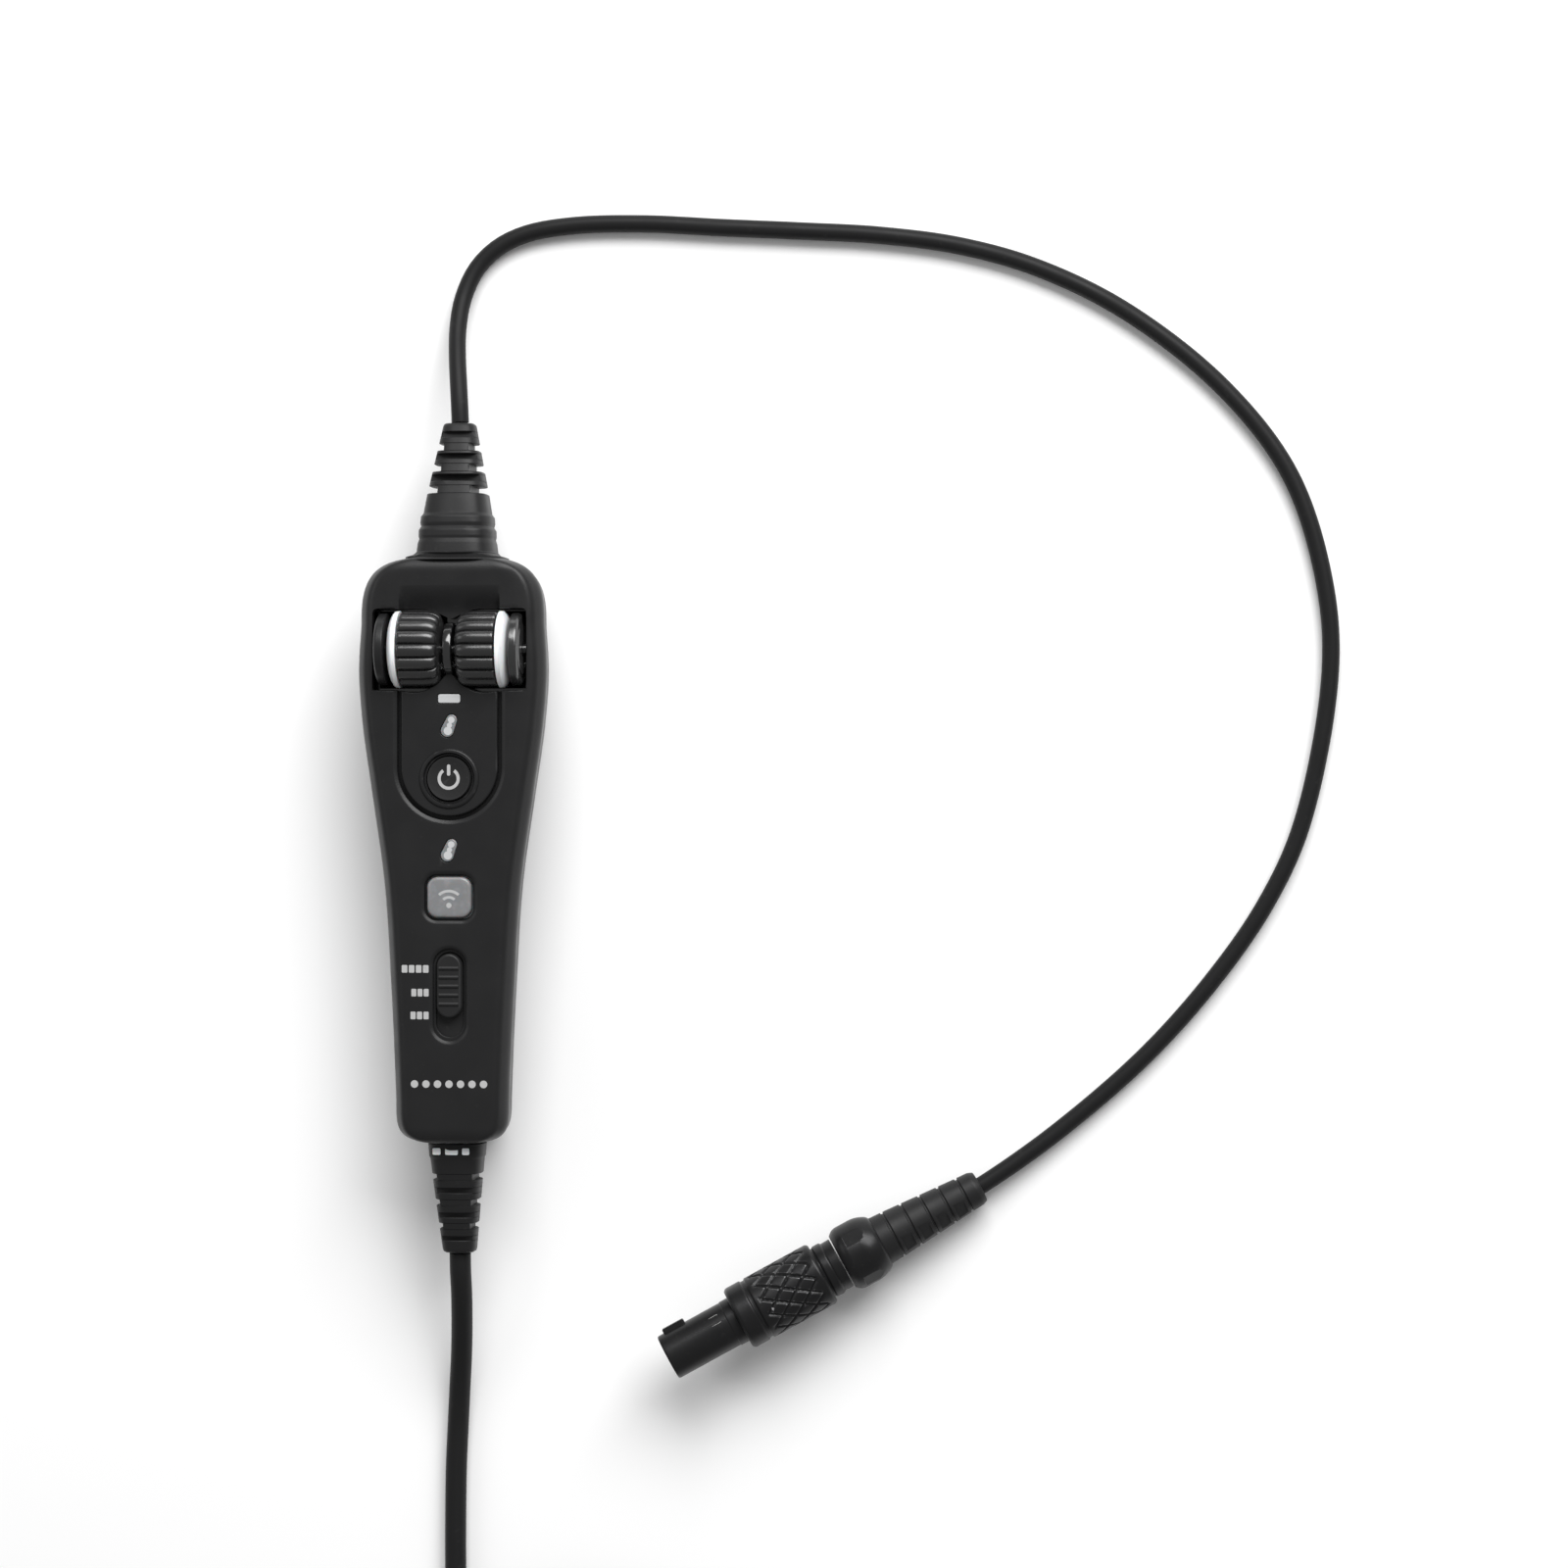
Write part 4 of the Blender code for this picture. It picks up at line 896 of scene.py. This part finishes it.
def front_case():
    made = housing_shell("front_shell", PARTING_Z + GAP / 2, ABOVE)
    join(made, block("hood_backing", (-HOOD_X - 1, HOOD_Y[0] - 1, FACE_Z - 4.4),
                     (HOOD_X + 1, HOOD_Y[1], FACE_Z - 0.9)))
    key_floor, slot_floor = FACE_Z - 1.2, FACE_Z - 1.1
    tools = [
        hood_cutter(),
        prism("window", window_outline, hole_levels(BELOW, FACE_Z, 0.55)),
        prism("groove", lambda more: panel_outline(GROOVE_OUTER - 0.5, more, WINDOW_Y[0] + 0.5),
              mouth_levels(BELOW, FACE_Z, 0.9)),
        square_prism("well", (0, WIRELESS_Y), (11.2, 10.4), 2.8, mouth_levels(key_floor, FACE_Z, 0.75)),
        square_prism("hole", (0, WIRELESS_Y), (10.6, 9.7), 2.4, hole_levels(BELOW, key_floor, 0.1)),
        prism("slot_well", lambda more: stadium((0, SLOT_Y), SLOT_WELL, more),
              mouth_levels(slot_floor, FACE_Z, 0.8)),
        prism("slot", lambda more: stadium((0, SLOT_Y), SLOT_SIZE, more),
              hole_levels(BELOW, slot_floor, 0.2)),
        light_prism("light", WIRELESS_LIGHT_Y, 0.4, hole_levels(BELOW, FACE_Z, 0.15)),
    ]
    cut(made, *tools, *boot_holes())
    piece(made, SATIN, "front_case")


def control_panel():
    about_power = Matrix.Translation((0, POWER_Y, 0))
    made = prism("face_panel", lambda more: panel_outline(GROOVE_INNER, more, PANEL_TOP_Y, True),
                 slab_levels(PANEL_BACK_Z, FACE_Z, 0.45))
    rim = [(0.1, 29.5), (6.1, 29.5, 0.25), (6.5, 29.45, 0.3), (6.9, 28.9, 0.3), (7.0, 27.4), (0.1, 27.4)]
    join(made, turned("rim", rim, about_power, FINE))
    well = [(0.1, ABOVE), (6.0, ABOVE), (5.95, 29.6), (5.65, 29.3, 0.2), (5.65, 28.6, 0.2), (0.1, 28.6)]
    cut(made, turned("well", well, about_power, FINE),
        rod("hole", (0, POWER_Y, BELOW), (0, POWER_Y, ABOVE), 5.2, FINE),
        square_prism("bar", BAR_SPOT, (5.3, 2.3), 0.6, hole_levels(BELOW, FACE_Z, 0.15)),
        light_prism("light", POWER_LIGHT_Y, 0.4, hole_levels(BELOW, FACE_Z, 0.15)))
    piece(made, SATIN, "control_panel")

    flange = prism("panel_flange", lambda more: panel_outline(14.0, more, 32.9),
                   slab_levels(25.4, 26.9, 0.2))
    cut(flange, rod("hole", (0, POWER_Y, BELOW), (0, POWER_Y, ABOVE), 5.3, 64),
        block("bar", (-3, BAR_Y - 1.5, BELOW), (3, BAR_Y + 1.5, ABOVE)),
        light_prism("light", POWER_LIGHT_Y, 0.5, hole_levels(BELOW, 30, 0.05)))
    piece(flange, SATIN)


def mark(name, outlines, bottom, top, body="module", material=INK):
    """A thin printed or inlaid mark made of one or more outlines."""
    made, *others = [slab(f"{name}_{i}" if i else name, outline, bottom, top)
                     for i, outline in enumerate(outlines)]
    for other in others:
        join(made, other)
    return piece(made, material, body=body)


def lights():
    """Softly domed windows over the status lights."""
    bar = square_prism("status_bar", BAR_SPOT, (5.0, 2.0), 0.5,
                       slab_levels(PANEL_BACK_Z, FACE_Z + 0.05, 0.2))
    piece(bar, DIFFUSER, "status_bar_lens")
    for name, y in (("power_light", POWER_LIGHT_Y), ("wireless_light", WIRELESS_LIGHT_Y)):
        piece(light_prism(name, y, 0.28, slab_levels(25.2, FACE_Z, 0.3)), SMOKE, f"{name}_lens")
        discs = [circle((0.5, y + 1.3), 0.75, 28), circle((-0.25, y - 1.15), 0.95, 28),
                 circle((0.1, y + 0.1), 0.6, 20)]
        mark(f"{name}_discs", discs, FACE_Z - 0.2, FACE_Z + 0.06, material=DIFFUSER)


def face_marks():
    """Plain index blocks beside the mode slider's three positions, and a row of dots below it."""
    rows = (("upper", -29.1, 6.4, 4), ("middle", -34.4, 4.2, 3), ("lower", -39.5, 4.4, 3))
    for name, y, width, count in rows:
        pitch = width / count
        outlines = [round_square((-4.45 - pitch * (i + 0.5), y), (pitch * 0.8, 1.7), 0.2, count=3)
                    for i in range(count)]
        mark(f"mode_mark_{name}", outlines, FACE_Z - 0.1, FACE_Z + 0.05)
    dots = [circle((x, -54.8), 0.85, 20) for x in np.linspace(-7.8, 7.8, 7)]
    mark("face_dots", dots, FACE_Z - 0.1, FACE_Z + 0.05)


# ---------------------------------------------------------------- buttons and slider

def power_button():
    cap = [(0, 29.25), (3.6, 29.4, 1.2), (4.3, 29.5, 0.3), (4.95, 29.0, 0.4), (5.0, 25.0), (6.1, 25.0, 0.1),
           (6.1, 24.2), (1.5, 24.2), (1.5, STEM_FOOT_Z), (0, STEM_FOOT_Z)]
    made = turned("power_key_cap", cap, Matrix.Translation((0, POWER_Y, 0)), FINE)
    piece(made, RUBBER, "power_button", body="power_key")
    ring = arc((0, POWER_Y), 2.5, -235, 55, 40) + arc((0, POWER_Y), 1.8, 55, -235, 40)
    bar = round_square((0, POWER_Y + 1.9), (0.75, 2.5), 0.3, count=4)
    mark("power_symbol", [ring, bar], 29.05, 29.5, "power_key")


def wireless_button():
    dome = [(26.0, 0.0), (28.4, 0.0), (28.75, -0.06), (28.98, -0.22), (29.1, -0.45), (29.16, -0.8),
            (29.18, -1.6)]
    made = square_prism("wireless_key_cap", (0, WIRELESS_Y), (10.0, 9.1), 2.4, dome, 12)
    foot = square_prism("foot", (0, WIRELESS_Y), (12.0, 11.1), 2.8, ((25.5, 0), (26.8, 0)))
    stem = block("stem", (-1.5, WIRELESS_Y - 1.5, STEM_FOOT_Z), (1.5, WIRELESS_Y + 1.5, 25.8))
    join(made, foot, stem)
    piece(made, SMOKE, "wireless_button", body="wireless_key")
    source = (0, WIRELESS_Y - 1.9)
    waves = [arc(source, radius + 0.3, 48, 132, 14) + arc(source, radius - 0.3, 132, 48, 14)
             for radius in (1.9, 3.3)]
    waves.append(circle((0, WIRELESS_Y - 1.8), 0.6, 20))
    mark("wireless_symbol", waves, 29.0, 29.22, "wireless_key")


def mode_slider():
    """The knob sits in the upper part of its slot. Low ribs across it give the thumb a grip."""
    length = 14.4
    knob_y = SLOT_Y + (SLOT_SIZE[1] - length) / 2 - GAP
    made = prism("slider_knob", lambda more: stadium((0, knob_y), (SLOT_SIZE[0] - 2 * GAP, length), more),
                 slab_levels(26.0, FACE_Z + 0.45, 0.6))
    ribs = []
    for i in range(5):
        y = knob_y + 2.0 * (i - 2)
        profile = [(y + 0.55 * math.cos(a), FACE_Z + 0.1 + 0.75 * math.sin(a))
                   for a in np.linspace(0, math.pi, 9)]
        ribs.append(bar_across(f"rib_{i}", profile, 2.2))
    plate = square_prism("plate", (0, SLOT_Y + 1.9), (8.8, 23.2), 1.0, slab_levels(25.6, 26.9, 0.2))
    peg = block("peg", (-1.2, SLOT_Y + 0.7, STEM_FOOT_Z), (1.2, SLOT_Y + 3.1, 25.8))
    join(made, *ribs, plate, peg)
    piece(made, RUBBER, "mode_slider", body="slider")


# ---------------------------------------------------------------- volume wheels

def wheel_radius(x):
    t = min(1.0, max(0.0, (x - WHEEL_INNER_X) / (WHEEL_OUTER_X - WHEEL_INNER_X)))
    return WHEEL_RADIUS - 1.3 * (1 - t) ** 9


def about_axle(side):
    """A frame whose Z runs outwards along the wheels' axle."""
    return Matrix.Translation((0, WHEEL_Y, WHEEL_Z)) @ Matrix.Rotation(side * math.pi / 2, 4, "Y")


def axle_rod(name, start_x, end_x, radius, sides=48):
    return rod(name, (start_x, WHEEL_Y, WHEEL_Z), (end_x, WHEEL_Y, WHEEL_Z), radius, sides)


def knurled_wheel(word, side):
    """A barrel of rounded ribs with narrow valleys between them, whose ends are turned down."""
    steps = WHEEL_RIBS * RIB_STEPS
    pitch = 2 * math.pi * WHEEL_RADIUS / WHEEL_RIBS
    rings = []
    for x in np.linspace(WHEEL_INNER_X, WHEEL_OUTER_X, 40):
        room = min(x - WHEEL_INNER_X, WHEEL_OUTER_X - x)
        edge = WHEEL_EDGE * (1 - math.sqrt(max(0.0, 1 - max(0.0, 1 - room / WHEEL_EDGE) ** 2)))
        ring = []
        for i in range(steps):
            offset = pitch * abs((i / RIB_STEPS + 0.5) % 1 - 0.5)
            crown = RIB_ROUND - math.sqrt(RIB_ROUND**2 - offset**2)
            valley = VALLEY_DEPTH * ease(offset, 0.41 * pitch, 0.5 * pitch)
            radius = wheel_radius(x) - edge - crown - valley
            angle = 2 * math.pi * i / steps + RIB_PHASE
            ring.append((side * x, WHEEL_Y + radius * math.cos(angle), WHEEL_Z + radius * math.sin(angle)))
        rings.append(ring)
    made = cut(skin(f"knurled_wheel_{word}", rings), axle_rod("bore", -30, 30, AXLE_BORE))
    piece(made, WHEEL_RUBBER, f"wheel_{word}", body=f"{word}_wheel")


def white_cap(word, side):
    inner = WHEEL_OUTER_X + GAP
    corners = [(AXLE_BORE, CAP_OUTER_X, 0.1), (4.6, CAP_OUTER_X, 2.0), (7.6, CAP_OUTER_X - 0.55, 1.4),
               (WHEEL_RADIUS, CAP_OUTER_X - 1.5, 0.5), (WHEEL_RADIUS, inner, 0.2), (AXLE_BORE, inner, 0.1)]
    made = turned(f"white_cap_{word}", corners, about_axle(side), FINE, closed=True, count=7)
    piece(made, WHITE, f"wheel_cap_{word}", body=f"{word}_wheel")


def drum(word, side):
    """A potentiometer's end drum, with a stepped rim. Both drums stand for one glossy plastic: the right one
    gets a shinier copy of it for a brighter highlight, and the left one a matt finish as painted shade.
    """
    lowest, highest = 14.1, 16.3
    corners = [(AXLE_BORE, highest, 0.1), (5.6, highest, 0.2), (5.9, highest - 0.25, 0.2),
               (7.5, highest - 0.1, 0.3), (8.1, highest - 0.5, 0.3), (8.1, lowest, 0.3),
               (AXLE_BORE, lowest, 0.1)]
    made = turned(f"volume_drum_{word}", corners, about_axle(side), FINE, closed=True)
    # Lit and shaded copies of one plastic: the shinier one on the right, the matt one on the left as painted
    # shade.
    piece(made, DRUM_GLOSS if side > 0 else SATIN, f"volume_pot_{word}", slot="gloss_black_plastic")


def axle():
    corners = [(0, 17.3), (1.2, 17.3, 0.25), (1.2, 0.7), (1.75, 0.6, 0.2), (1.75, -0.6, 0.2), (1.2, -0.7),
               (1.2, -17.3, 0.25), (0, -17.3)]
    piece(turned("axle_pin", corners, about_axle(1), 48), GLOSS, "wheel_axle", slot="plated_steel")


def cradle():
    """The dark well under the wheels, with a trough round each one and a web between them."""
    made = block("wheel_well", (-17.6, WHEEL_Y - 10.3, 18.2), (17.6, WHEEL_Y + 10.3, WELL_TOP))
    trim(made, housing_loft("room", 1.8, 2.1, 1.8))
    cut(made, *[axle_rod(f"trough_{side}", side * 1.2, side * 16.6, WHEEL_RADIUS + 0.45, FINE)
                for side in (-1, 1)])
    hub = [(0, 1.1), (HUB_RADIUS, 1.1, 0.6), (HUB_RADIUS, -1.1, 0.6), (0, -1.1)]
    join(made, turned("hub", hub, about_axle(1), FINE))
    cut(made, axle_rod("bore", -30, 30, AXLE_BORE))
    piece(made, GLOSS, "wheel_cradle")


def volume_wheels():
    for word, side in (("left", -1), ("right", 1)):
        knurled_wheel(word, side)
        white_cap(word, side)
        drum(word, side)
    axle()
    cradle()


# ---------------------------------------------------------------- back of the housing

def rear_case():
    made = housing_shell("rear_shell", UNDER, PARTING_Z - GAP / 2)
    spots = list(enumerate(SCREW_SPOTS))
    join(made, *[rod(f"post_{i}", (x, y, floor + 0.8), (x, y, PARTING_Z - GAP / 2), 2.8, 32)
                 for i, (x, y, floor) in spots])
    centre, size = (0, 30.7), (26.6, 51.2)
    opening = square_prism("opening", centre, size, 1.0, ((UNDER, 0), (4.4, 0)))
    head = [(0, 2.4), (2.5, 2.4, 0.2), (2.5, 0.4), (2.9, -0.2), (2.9, -6), (0, -6)]
    heads = [turned(f"head_{i}", head, Matrix.Translation(spot), 48) for i, spot in spots]
    bores = [rod(f"bore_{i}", (x, y, UNDER), (x, y, 25), 1.3, 32) for i, (x, y, _) in spots]
    cut(made, opening, *heads, *bores, *boot_holes())
    piece(made, SATIN, "rear_case")


def battery_door():
    """The sliding door, with thumb ridges and an arrow that shows which way it slides."""
    made = housing_loft("door_panel", 0.4, 0.4, 0.4, scooped=False, count=120)
    cut(made, housing_loft("hollow", 1.7, 1.7, 1.7, scooped=False))
    trim(made, square_prism("blank", (0, 30.7), (26.0, 50.6), 0.8, ((UNDER, 0), (3.0, 0))))
    join(made, block("end_lip", (-12.0, 5.45, 0.9), (12.0, 6.9, 2.95)))
    grooves = []
    for i in range(7):
        y = 48.0 - 1.9 * i
        profile = [(y + 0.55 * math.cos(a), 0.4 + 0.5 * math.sin(a))
                   for a in np.linspace(0, 2 * math.pi, 13)[:-1]]
        grooves.append(bar_across(f"ridge_{i}", profile, 8.5 - 0.25 * i))
    grooves.append(slab("arrow", [(0, 26.5), (-3.2, 30.5), (3.2, 30.5)], -1.0, 0.95))
    cut(made, *grooves)
    piece(made, SATIN, "battery_door", body="door")


def screws():
    """Pan-head screws with a cross recess."""
    corners = [(0, 1.35), (1.5, 1.25, 0.6), (2.1, 0.75, 0.3), (2.1, 0, 0.1), (1.0, 0), (1.0, -14.5),
               (0.3, -15.2), (0, -15.2)]
    for i, (x, y, floor) in enumerate(SCREW_SPOTS, start=1):
        down = Matrix.Translation((x, y, floor + 2.1)) @ Matrix.Rotation(math.pi, 4, "X")
        made = turned(f"screw_{i}", corners, down, 48)
        turn = Matrix.Translation((x, y, 0)) @ Matrix.Rotation(math.radians(25 + 40 * i), 4, "Z")
        for reach_x, reach_y in ((1.2, 0.28), (0.28, 1.2)):
            arm = block("arm", (-reach_x, -reach_y, floor - 3), (reach_x, reach_y, floor + 1.5))
            cut(made, in_frame(arm, turn))
        piece(made, STEEL, f"case_screw_{i}")


# ---------------------------------------------------------------- boots

def boot_ring(radius, distance, sign, squareness, side_web, front_web):
    """A rounded-square ring of a boot, pinched to a web where a slot crosses it."""
    root = TOP_END if sign > 0 else -BOTTOM_END
    t = min(1.0, max(0.0, (distance - root) / (BOOT_TIP - root)))
    centre_z = BOOT_Z - BOOT_DROOP * t**1.5
    ring = []
    for a in np.linspace(0, 2 * math.pi, 72, endpoint=False):
        c, s = math.cos(a), math.sin(a)
        grow = radius * (abs(c) ** squareness + abs(s) ** squareness) ** (-1 / squareness)
        x = max(-side_web, min(side_web, grow * c))
        z = max(-front_web, min(front_web, grow * s))
        ring.append((x, sign * distance, centre_z + z))
    return ring


def boot(name, sign, outline, slots, squareness, node):
    """outline is (distance, radius). Each slot is (distance, width, web, side or front)."""
    distances, radii = zip(*outline)
    stations = set(np.linspace(distances[0], distances[-1], 70))
    stations.update(distances)
    for spot, width, _, _ in slots:
        for edge in (spot - width / 2, spot + width / 2):
            stations.update((edge - 0.14, edge - 0.02, edge + 0.02, edge + 0.14))
    rings = []
    for distance in sorted(stations):
        radius = float(np.interp(distance, distances, radii))
        webs = {"side": math.inf, "front": math.inf}
        for spot, width, web, way in slots:
            inside = width / 2 - abs(distance - spot)
            if inside > 0:
                webs[way] = web
            elif inside > -0.13:
                radius -= 0.12
        rings.append(boot_ring(radius, distance, sign, squareness, webs["side"], webs["front"]))
    neck_start = (TOP_END if sign > 0 else -BOTTOM_END) - 3.0
    made = join(
        skin(name, rings),
        rod("neck", (0, sign * neck_start, BOOT_Z), (0, sign * (distances[0] + 2), BOOT_Z), 4.0),
        rod("collar", (0, sign * neck_start, BOOT_Z), (0, sign * (neck_start + 1.1), BOOT_Z), 5.4),
    )
    piece(made, BOOT_RUBBER, node)


def boots():
    top_outline = (
        (63.2, 11.2), (63.7, 9.6), (64.4, 8.85), (66.4, 8.6), (67.4, 8.3), (68.0, 8.45), (69.4, 8.4),
        (70.2, 7.9), (71.0, 8.1), (72.4, 8.0), (73.2, 7.45), (77.4, 6.75), (93.2, 3.65),
        (BOOT_TIP - 0.25, 3.5), (BOOT_TIP, 3.2),
    )
    top_slots = (
        (63.3, 1.4, 8.6, "front"), (78.5, 1.7, 3.7, "side"), (83.5, 1.7, 3.2, "side"),
        (88.3, 1.6, 2.8, "side"), (81.2, 1.5, 3.7, "front"), (86.1, 1.3, 3.2, "front"),
        (91.2, 1.3, 2.7, "front"),
    )
    bottom_outline = ((68.8, 6.4), (71.6, 6.2), (72.2, 5.95), (92.9, 3.8), (93.5, 3.65), (BOOT_TIP, 3.2))
    bottom_slots = (
        (76.3, 1.4, 4.1, "side"), (82.2, 1.4, 3.6, "side"), (87.6, 1.3, 3.1, "side"),
        (79.3, 1.2, 4.1, "front"), (85.0, 1.1, 3.5, "front"), (90.4, 1.0, 3.0, "front"),
    )
    boot("top_strain_relief", 1, top_outline, top_slots, 3.4, "top_boot")
    boot("bottom_strain_relief", -1, bottom_outline, bottom_slots, 3.0, "bottom_boot")
    # Painted highlight: three small white marks on the bottom boot's collar stand for bright glints on it,
    # not for white parts of the boot.
    for i, (x, width) in enumerate(((-3.7, 1.8), (-0.3, 2.9), (2.9, 1.6)), start=1):
        outline = round_square((x, -70.3), (width, 1.5), 0.3, count=4)
        mark(f"boot_pad_{i}", [outline], 22.0, 24.25, material=WHITE)


# ---------------------------------------------------------------- plugs

def turned_about(here, degrees):
    """A frame turned about its own Z."""
    return here @ Matrix.Rotation(math.radians(degrees), 4, "Z")


def grip_sleeve(here):
    """The release sleeve: a plain front band, a groove, then a coarse diamond grip."""
    outer = fillet([(6.35, 40.7, 0.1), (7.0, 40.7, 0.3), (7.45, 41.3, 0.3), (7.45, 57.0, 0.15),
                    (7.1, 57.3, 0.1), (7.1, 58.0, 0.1), (7.45, 58.3, 0.2), (7.45, 61.8, 0.4),
                    (6.9, 62.4, 0.2), (6.35, 62.4, 0.1)])
    dense = []
    for (r0, s0), (r1, s1) in zip(outer, outer[1:]):
        count = max(1, round(abs(s1 - s0) / 0.22))
        dense += [(r0 + (r1 - r0) * i / count, s0 + (s1 - s0) * i / count) for i in range(count)]
    dense.append(outer[-1])
    rings = []
    for radius, s in dense:
        grip = 0.36 * ease(s, 42.2, 42.9) * (1 - ease(s, 55.6, 56.3)) if radius > 7.3 else 0.0
        slant = math.pi * s / 5.3
        ring = []
        for a in np.linspace(0, 2 * math.pi, 216, endpoint=False):
            nearest = min(abs(math.sin(6 * a + slant)), abs(math.sin(6 * a - slant)))
            r = radius - grip * (1 - ease(nearest, 0.08, 0.42))
            ring.append((r * math.cos(a), r * math.sin(a), s))
        rings.append(ring)
    piece(skin("plug_grip_sleeve", rings, here, joined=True), METAL, "plug_sleeve", body="release_sleeve")


def collet_nut(here):
    """A turned nut with four shallow wrench flats."""
    corners = [(0, 35.6), (6.5, 35.6, 0.2), (7.6, 34.3, 1.0), (7.6, 28.6, 1.6), (6.3, 25.9, 0.8),
               (5.6, 25.7), (0, 25.7)]
    made = turned("plug_nut", corners, here, FINE)
    flats = [in_frame(block("flat", (-10, low_y, 28.0), (10, high_y, 33.2)), turned_about(here, turn))
             for turn in (35, 125) for low_y, high_y in ((-12, -7.4), (7.4, 12))]
    cut(made, *flats)
    piece(made, METAL, "plug_collet_nut")


def plug_body(here):
    barrel = [(5.3, s) for s in np.arange(79.2, 65.0, -0.8)]
    corners = [(0.5, 73.4), (4.5, 73.4), (4.5, 80.1), (4.7, 80.4, 0.1), (5.1, 80.4, 0.2), (5.3, 80.0, 0.2),
               *barrel, (5.3, 64.6), (5.45, 64.4), (5.45, 62.5), (6.0, 62.2, 0.2), (6.0, 40.4),
               (6.3, 40.0, 0.2), (6.3, 38.4, 0.2), (5.9, 38.0), (6.0, 35.9, 0.2), (0, 35.9)]
    made = turned("plug_body", corners, here, FINE)
    up = turned_about(here, 180)
    latch_side = turned_about(up, -60)
    key = square_prism("key", (0, 76.0), (2.6, 5.4), 0.5, ((4.6, 0), (6.0, 0), (6.25, -0.25)))
    join(made, in_frame(key, up @ Matrix.Rotation(math.pi / 2, 4, "X") @ Matrix.Scale(-1, 4, (0, 0, 1))))
    cut(made, in_frame(block("window", (-1.5, 4.6, 65.6), (1.5, 7.0, 68.6)), latch_side))
    piece(made, METAL, "plug_nose")
    piece(in_frame(block("plug_latch", (-1.1, 4.4, 66.0), (1.1, 5.2, 68.2)), latch_side), STEEL)


def plug_tail_boot(here):
    """A ribbed rubber tail whose rings get smaller towards the cord."""
    corners = [(0, 25.9), (5.75, 25.9, 0.2)]
    for ring in range(5):
        groove = 22.9 - 4.6 * ring
        radius = 5.6 - 0.34 * ring
        corners += [(radius, groove, 0.1), (radius - 0.4, groove - 0.15, 0.1),
                    (radius - 0.42, groove - 0.55, 0.1), (radius - 0.04, groove - 0.7, 0.1)]
    corners += [(4.05, 1.2, 0.3), (3.5, 0.0, 0.3), (2.05, 0.0), (0, 0)]
    made = turned("plug_boot_rings", corners, here, 72)
    flats = [in_frame(block("flat", (-3.2, 4.0 + 0.34 * i, 5.1 + 4.6 * i), (3.2, 8, 7.6 + 4.6 * i)),
                      turned_about(here, turn))
             for i in range(4) for turn in (55, 235)]
    cut(made, *flats)
    piece(made, BOOT_RUBBER, "plug_boot")


def plug_contacts(here):
    insert = [(0, 77.0), (3.9, 77.0, 0.1), (4.2, 76.7, 0.1), (4.2, 73.7), (0, 73.7)]
    piece(turned("plug_key_insert", insert, here, 48), WHITE, "plug_insert")
    pin = [(0, 79.6), (0.25, 79.6, 0.1), (0.45, 79.2, 0.15), (0.45, 77.3), (0, 77.3)]
    for i, (x, y) in enumerate(arc((0, 0), 2.5, 20, 320, 6), start=1):
        made = turned(f"plug_contact_{i}", pin, here @ Matrix.Translation((x, y, 0)), 20)
        piece(made, GOLD, f"plug_pin_{i}")


def round_plug():
    """The plug is built in a frame whose Z runs along it from its tail to its tip."""
    here = (Matrix.Translation(PLUG_TAIL) @ Matrix.Rotation(PLUG_HEADING, 4, "Z")
            @ Matrix.Rotation(math.pi / 2 - PLUG_PITCH, 4, "Y"))
    plug_tail_boot(here)
    collet_nut(here)
    plug_body(here)
    grip_sleeve(here)
    plug_contacts(here)


def headset_connector():
    """The connector at the headset cord's end: a stepped rubber tail, a shell with a grip, and a socket."""
    here = Matrix.Translation(CONNECTOR_TAIL) @ Matrix.Rotation(math.pi / 2, 4, "Y")
    tail = [(0, 16), (3.9, 16, 0.2), (3.9, 13.5, 0.3), (3.3, 13.3, 0.1), (3.3, 12.6, 0.1), (3.8, 12.4, 0.3),
            (3.6, 8.5, 0.3), (3.1, 8.3, 0.1), (3.1, 7.6, 0.1), (3.5, 7.4, 0.3), (3.4, 4.2, 0.3),
            (3.0, 4.0, 0.1), (3.0, 3.4, 0.1), (3.35, 3.2, 0.3), (3.2, 0, 0.4), (0, 0)]
    piece(turned("connector_tail", tail, here), BOOT_RUBBER, "connector_boot")
    shell = [(0, 16.3), (4.1, 16.3, 0.2), (4.5, 17.0, 0.3)]
    for i in range(9):
        s = 19.0 + 1.1 * i
        shell += [(4.5, s - 0.2, 0.05), (4.3, s, 0.05), (4.5, s + 0.2, 0.05)]
    shell += [(4.5, 31.9, 0.3), (4.1, 32.3, 0.2), (0, 32.3)]
    piece(turned("connector_barrel", shell, here), SHELL_METAL, "connector_shell")
    nose = [(0, 38.0), (2.4, 38.0), (2.4, 40.2), (2.6, 40.6, 0.1), (3.0, 40.6, 0.1), (3.2, 40.3, 0.1),
            (3.2, 32.6), (0, 32.6)]
    made = turned("connector_socket", nose, here)
    cut(made, in_frame(block("slot", (-0.5, 2.7, 37.0), (0.5, 4.0, 41.0)), here))
    piece(made, SHELL_METAL, "connector_nose")


# ---------------------------------------------------------------- carried-over CAD pieces

def dress_nodes():
    """Gives the CAD pieces that stay in view their finished materials."""
    looks = {
        STEEL: ("power_switch", "wireless_switch", "slide_switch", "radio_shield", "battery_contact",
                "battery_spring_left", "battery_spring_right"),
        BOARD: ("main_board",),
        GLOSS: ("audio_processor",),
        SATIN: ("battery_bay",),
        SLEEVE: ("battery_left", "battery_right"),
    }
    for material, names in looks.items():
        for name in names:
            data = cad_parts[name].data
            data.materials.clear()
            data.materials.append(material)


# ---------------------------------------------------------------- everything

camera_and_light()
front_case()
control_panel()
lights()
face_marks()
power_button()
wireless_button()
mode_slider()
volume_wheels()
rear_case()
battery_door()
screws()
boots()
round_plug()
headset_connector()
coil_tie()
cords()
dress_nodes()
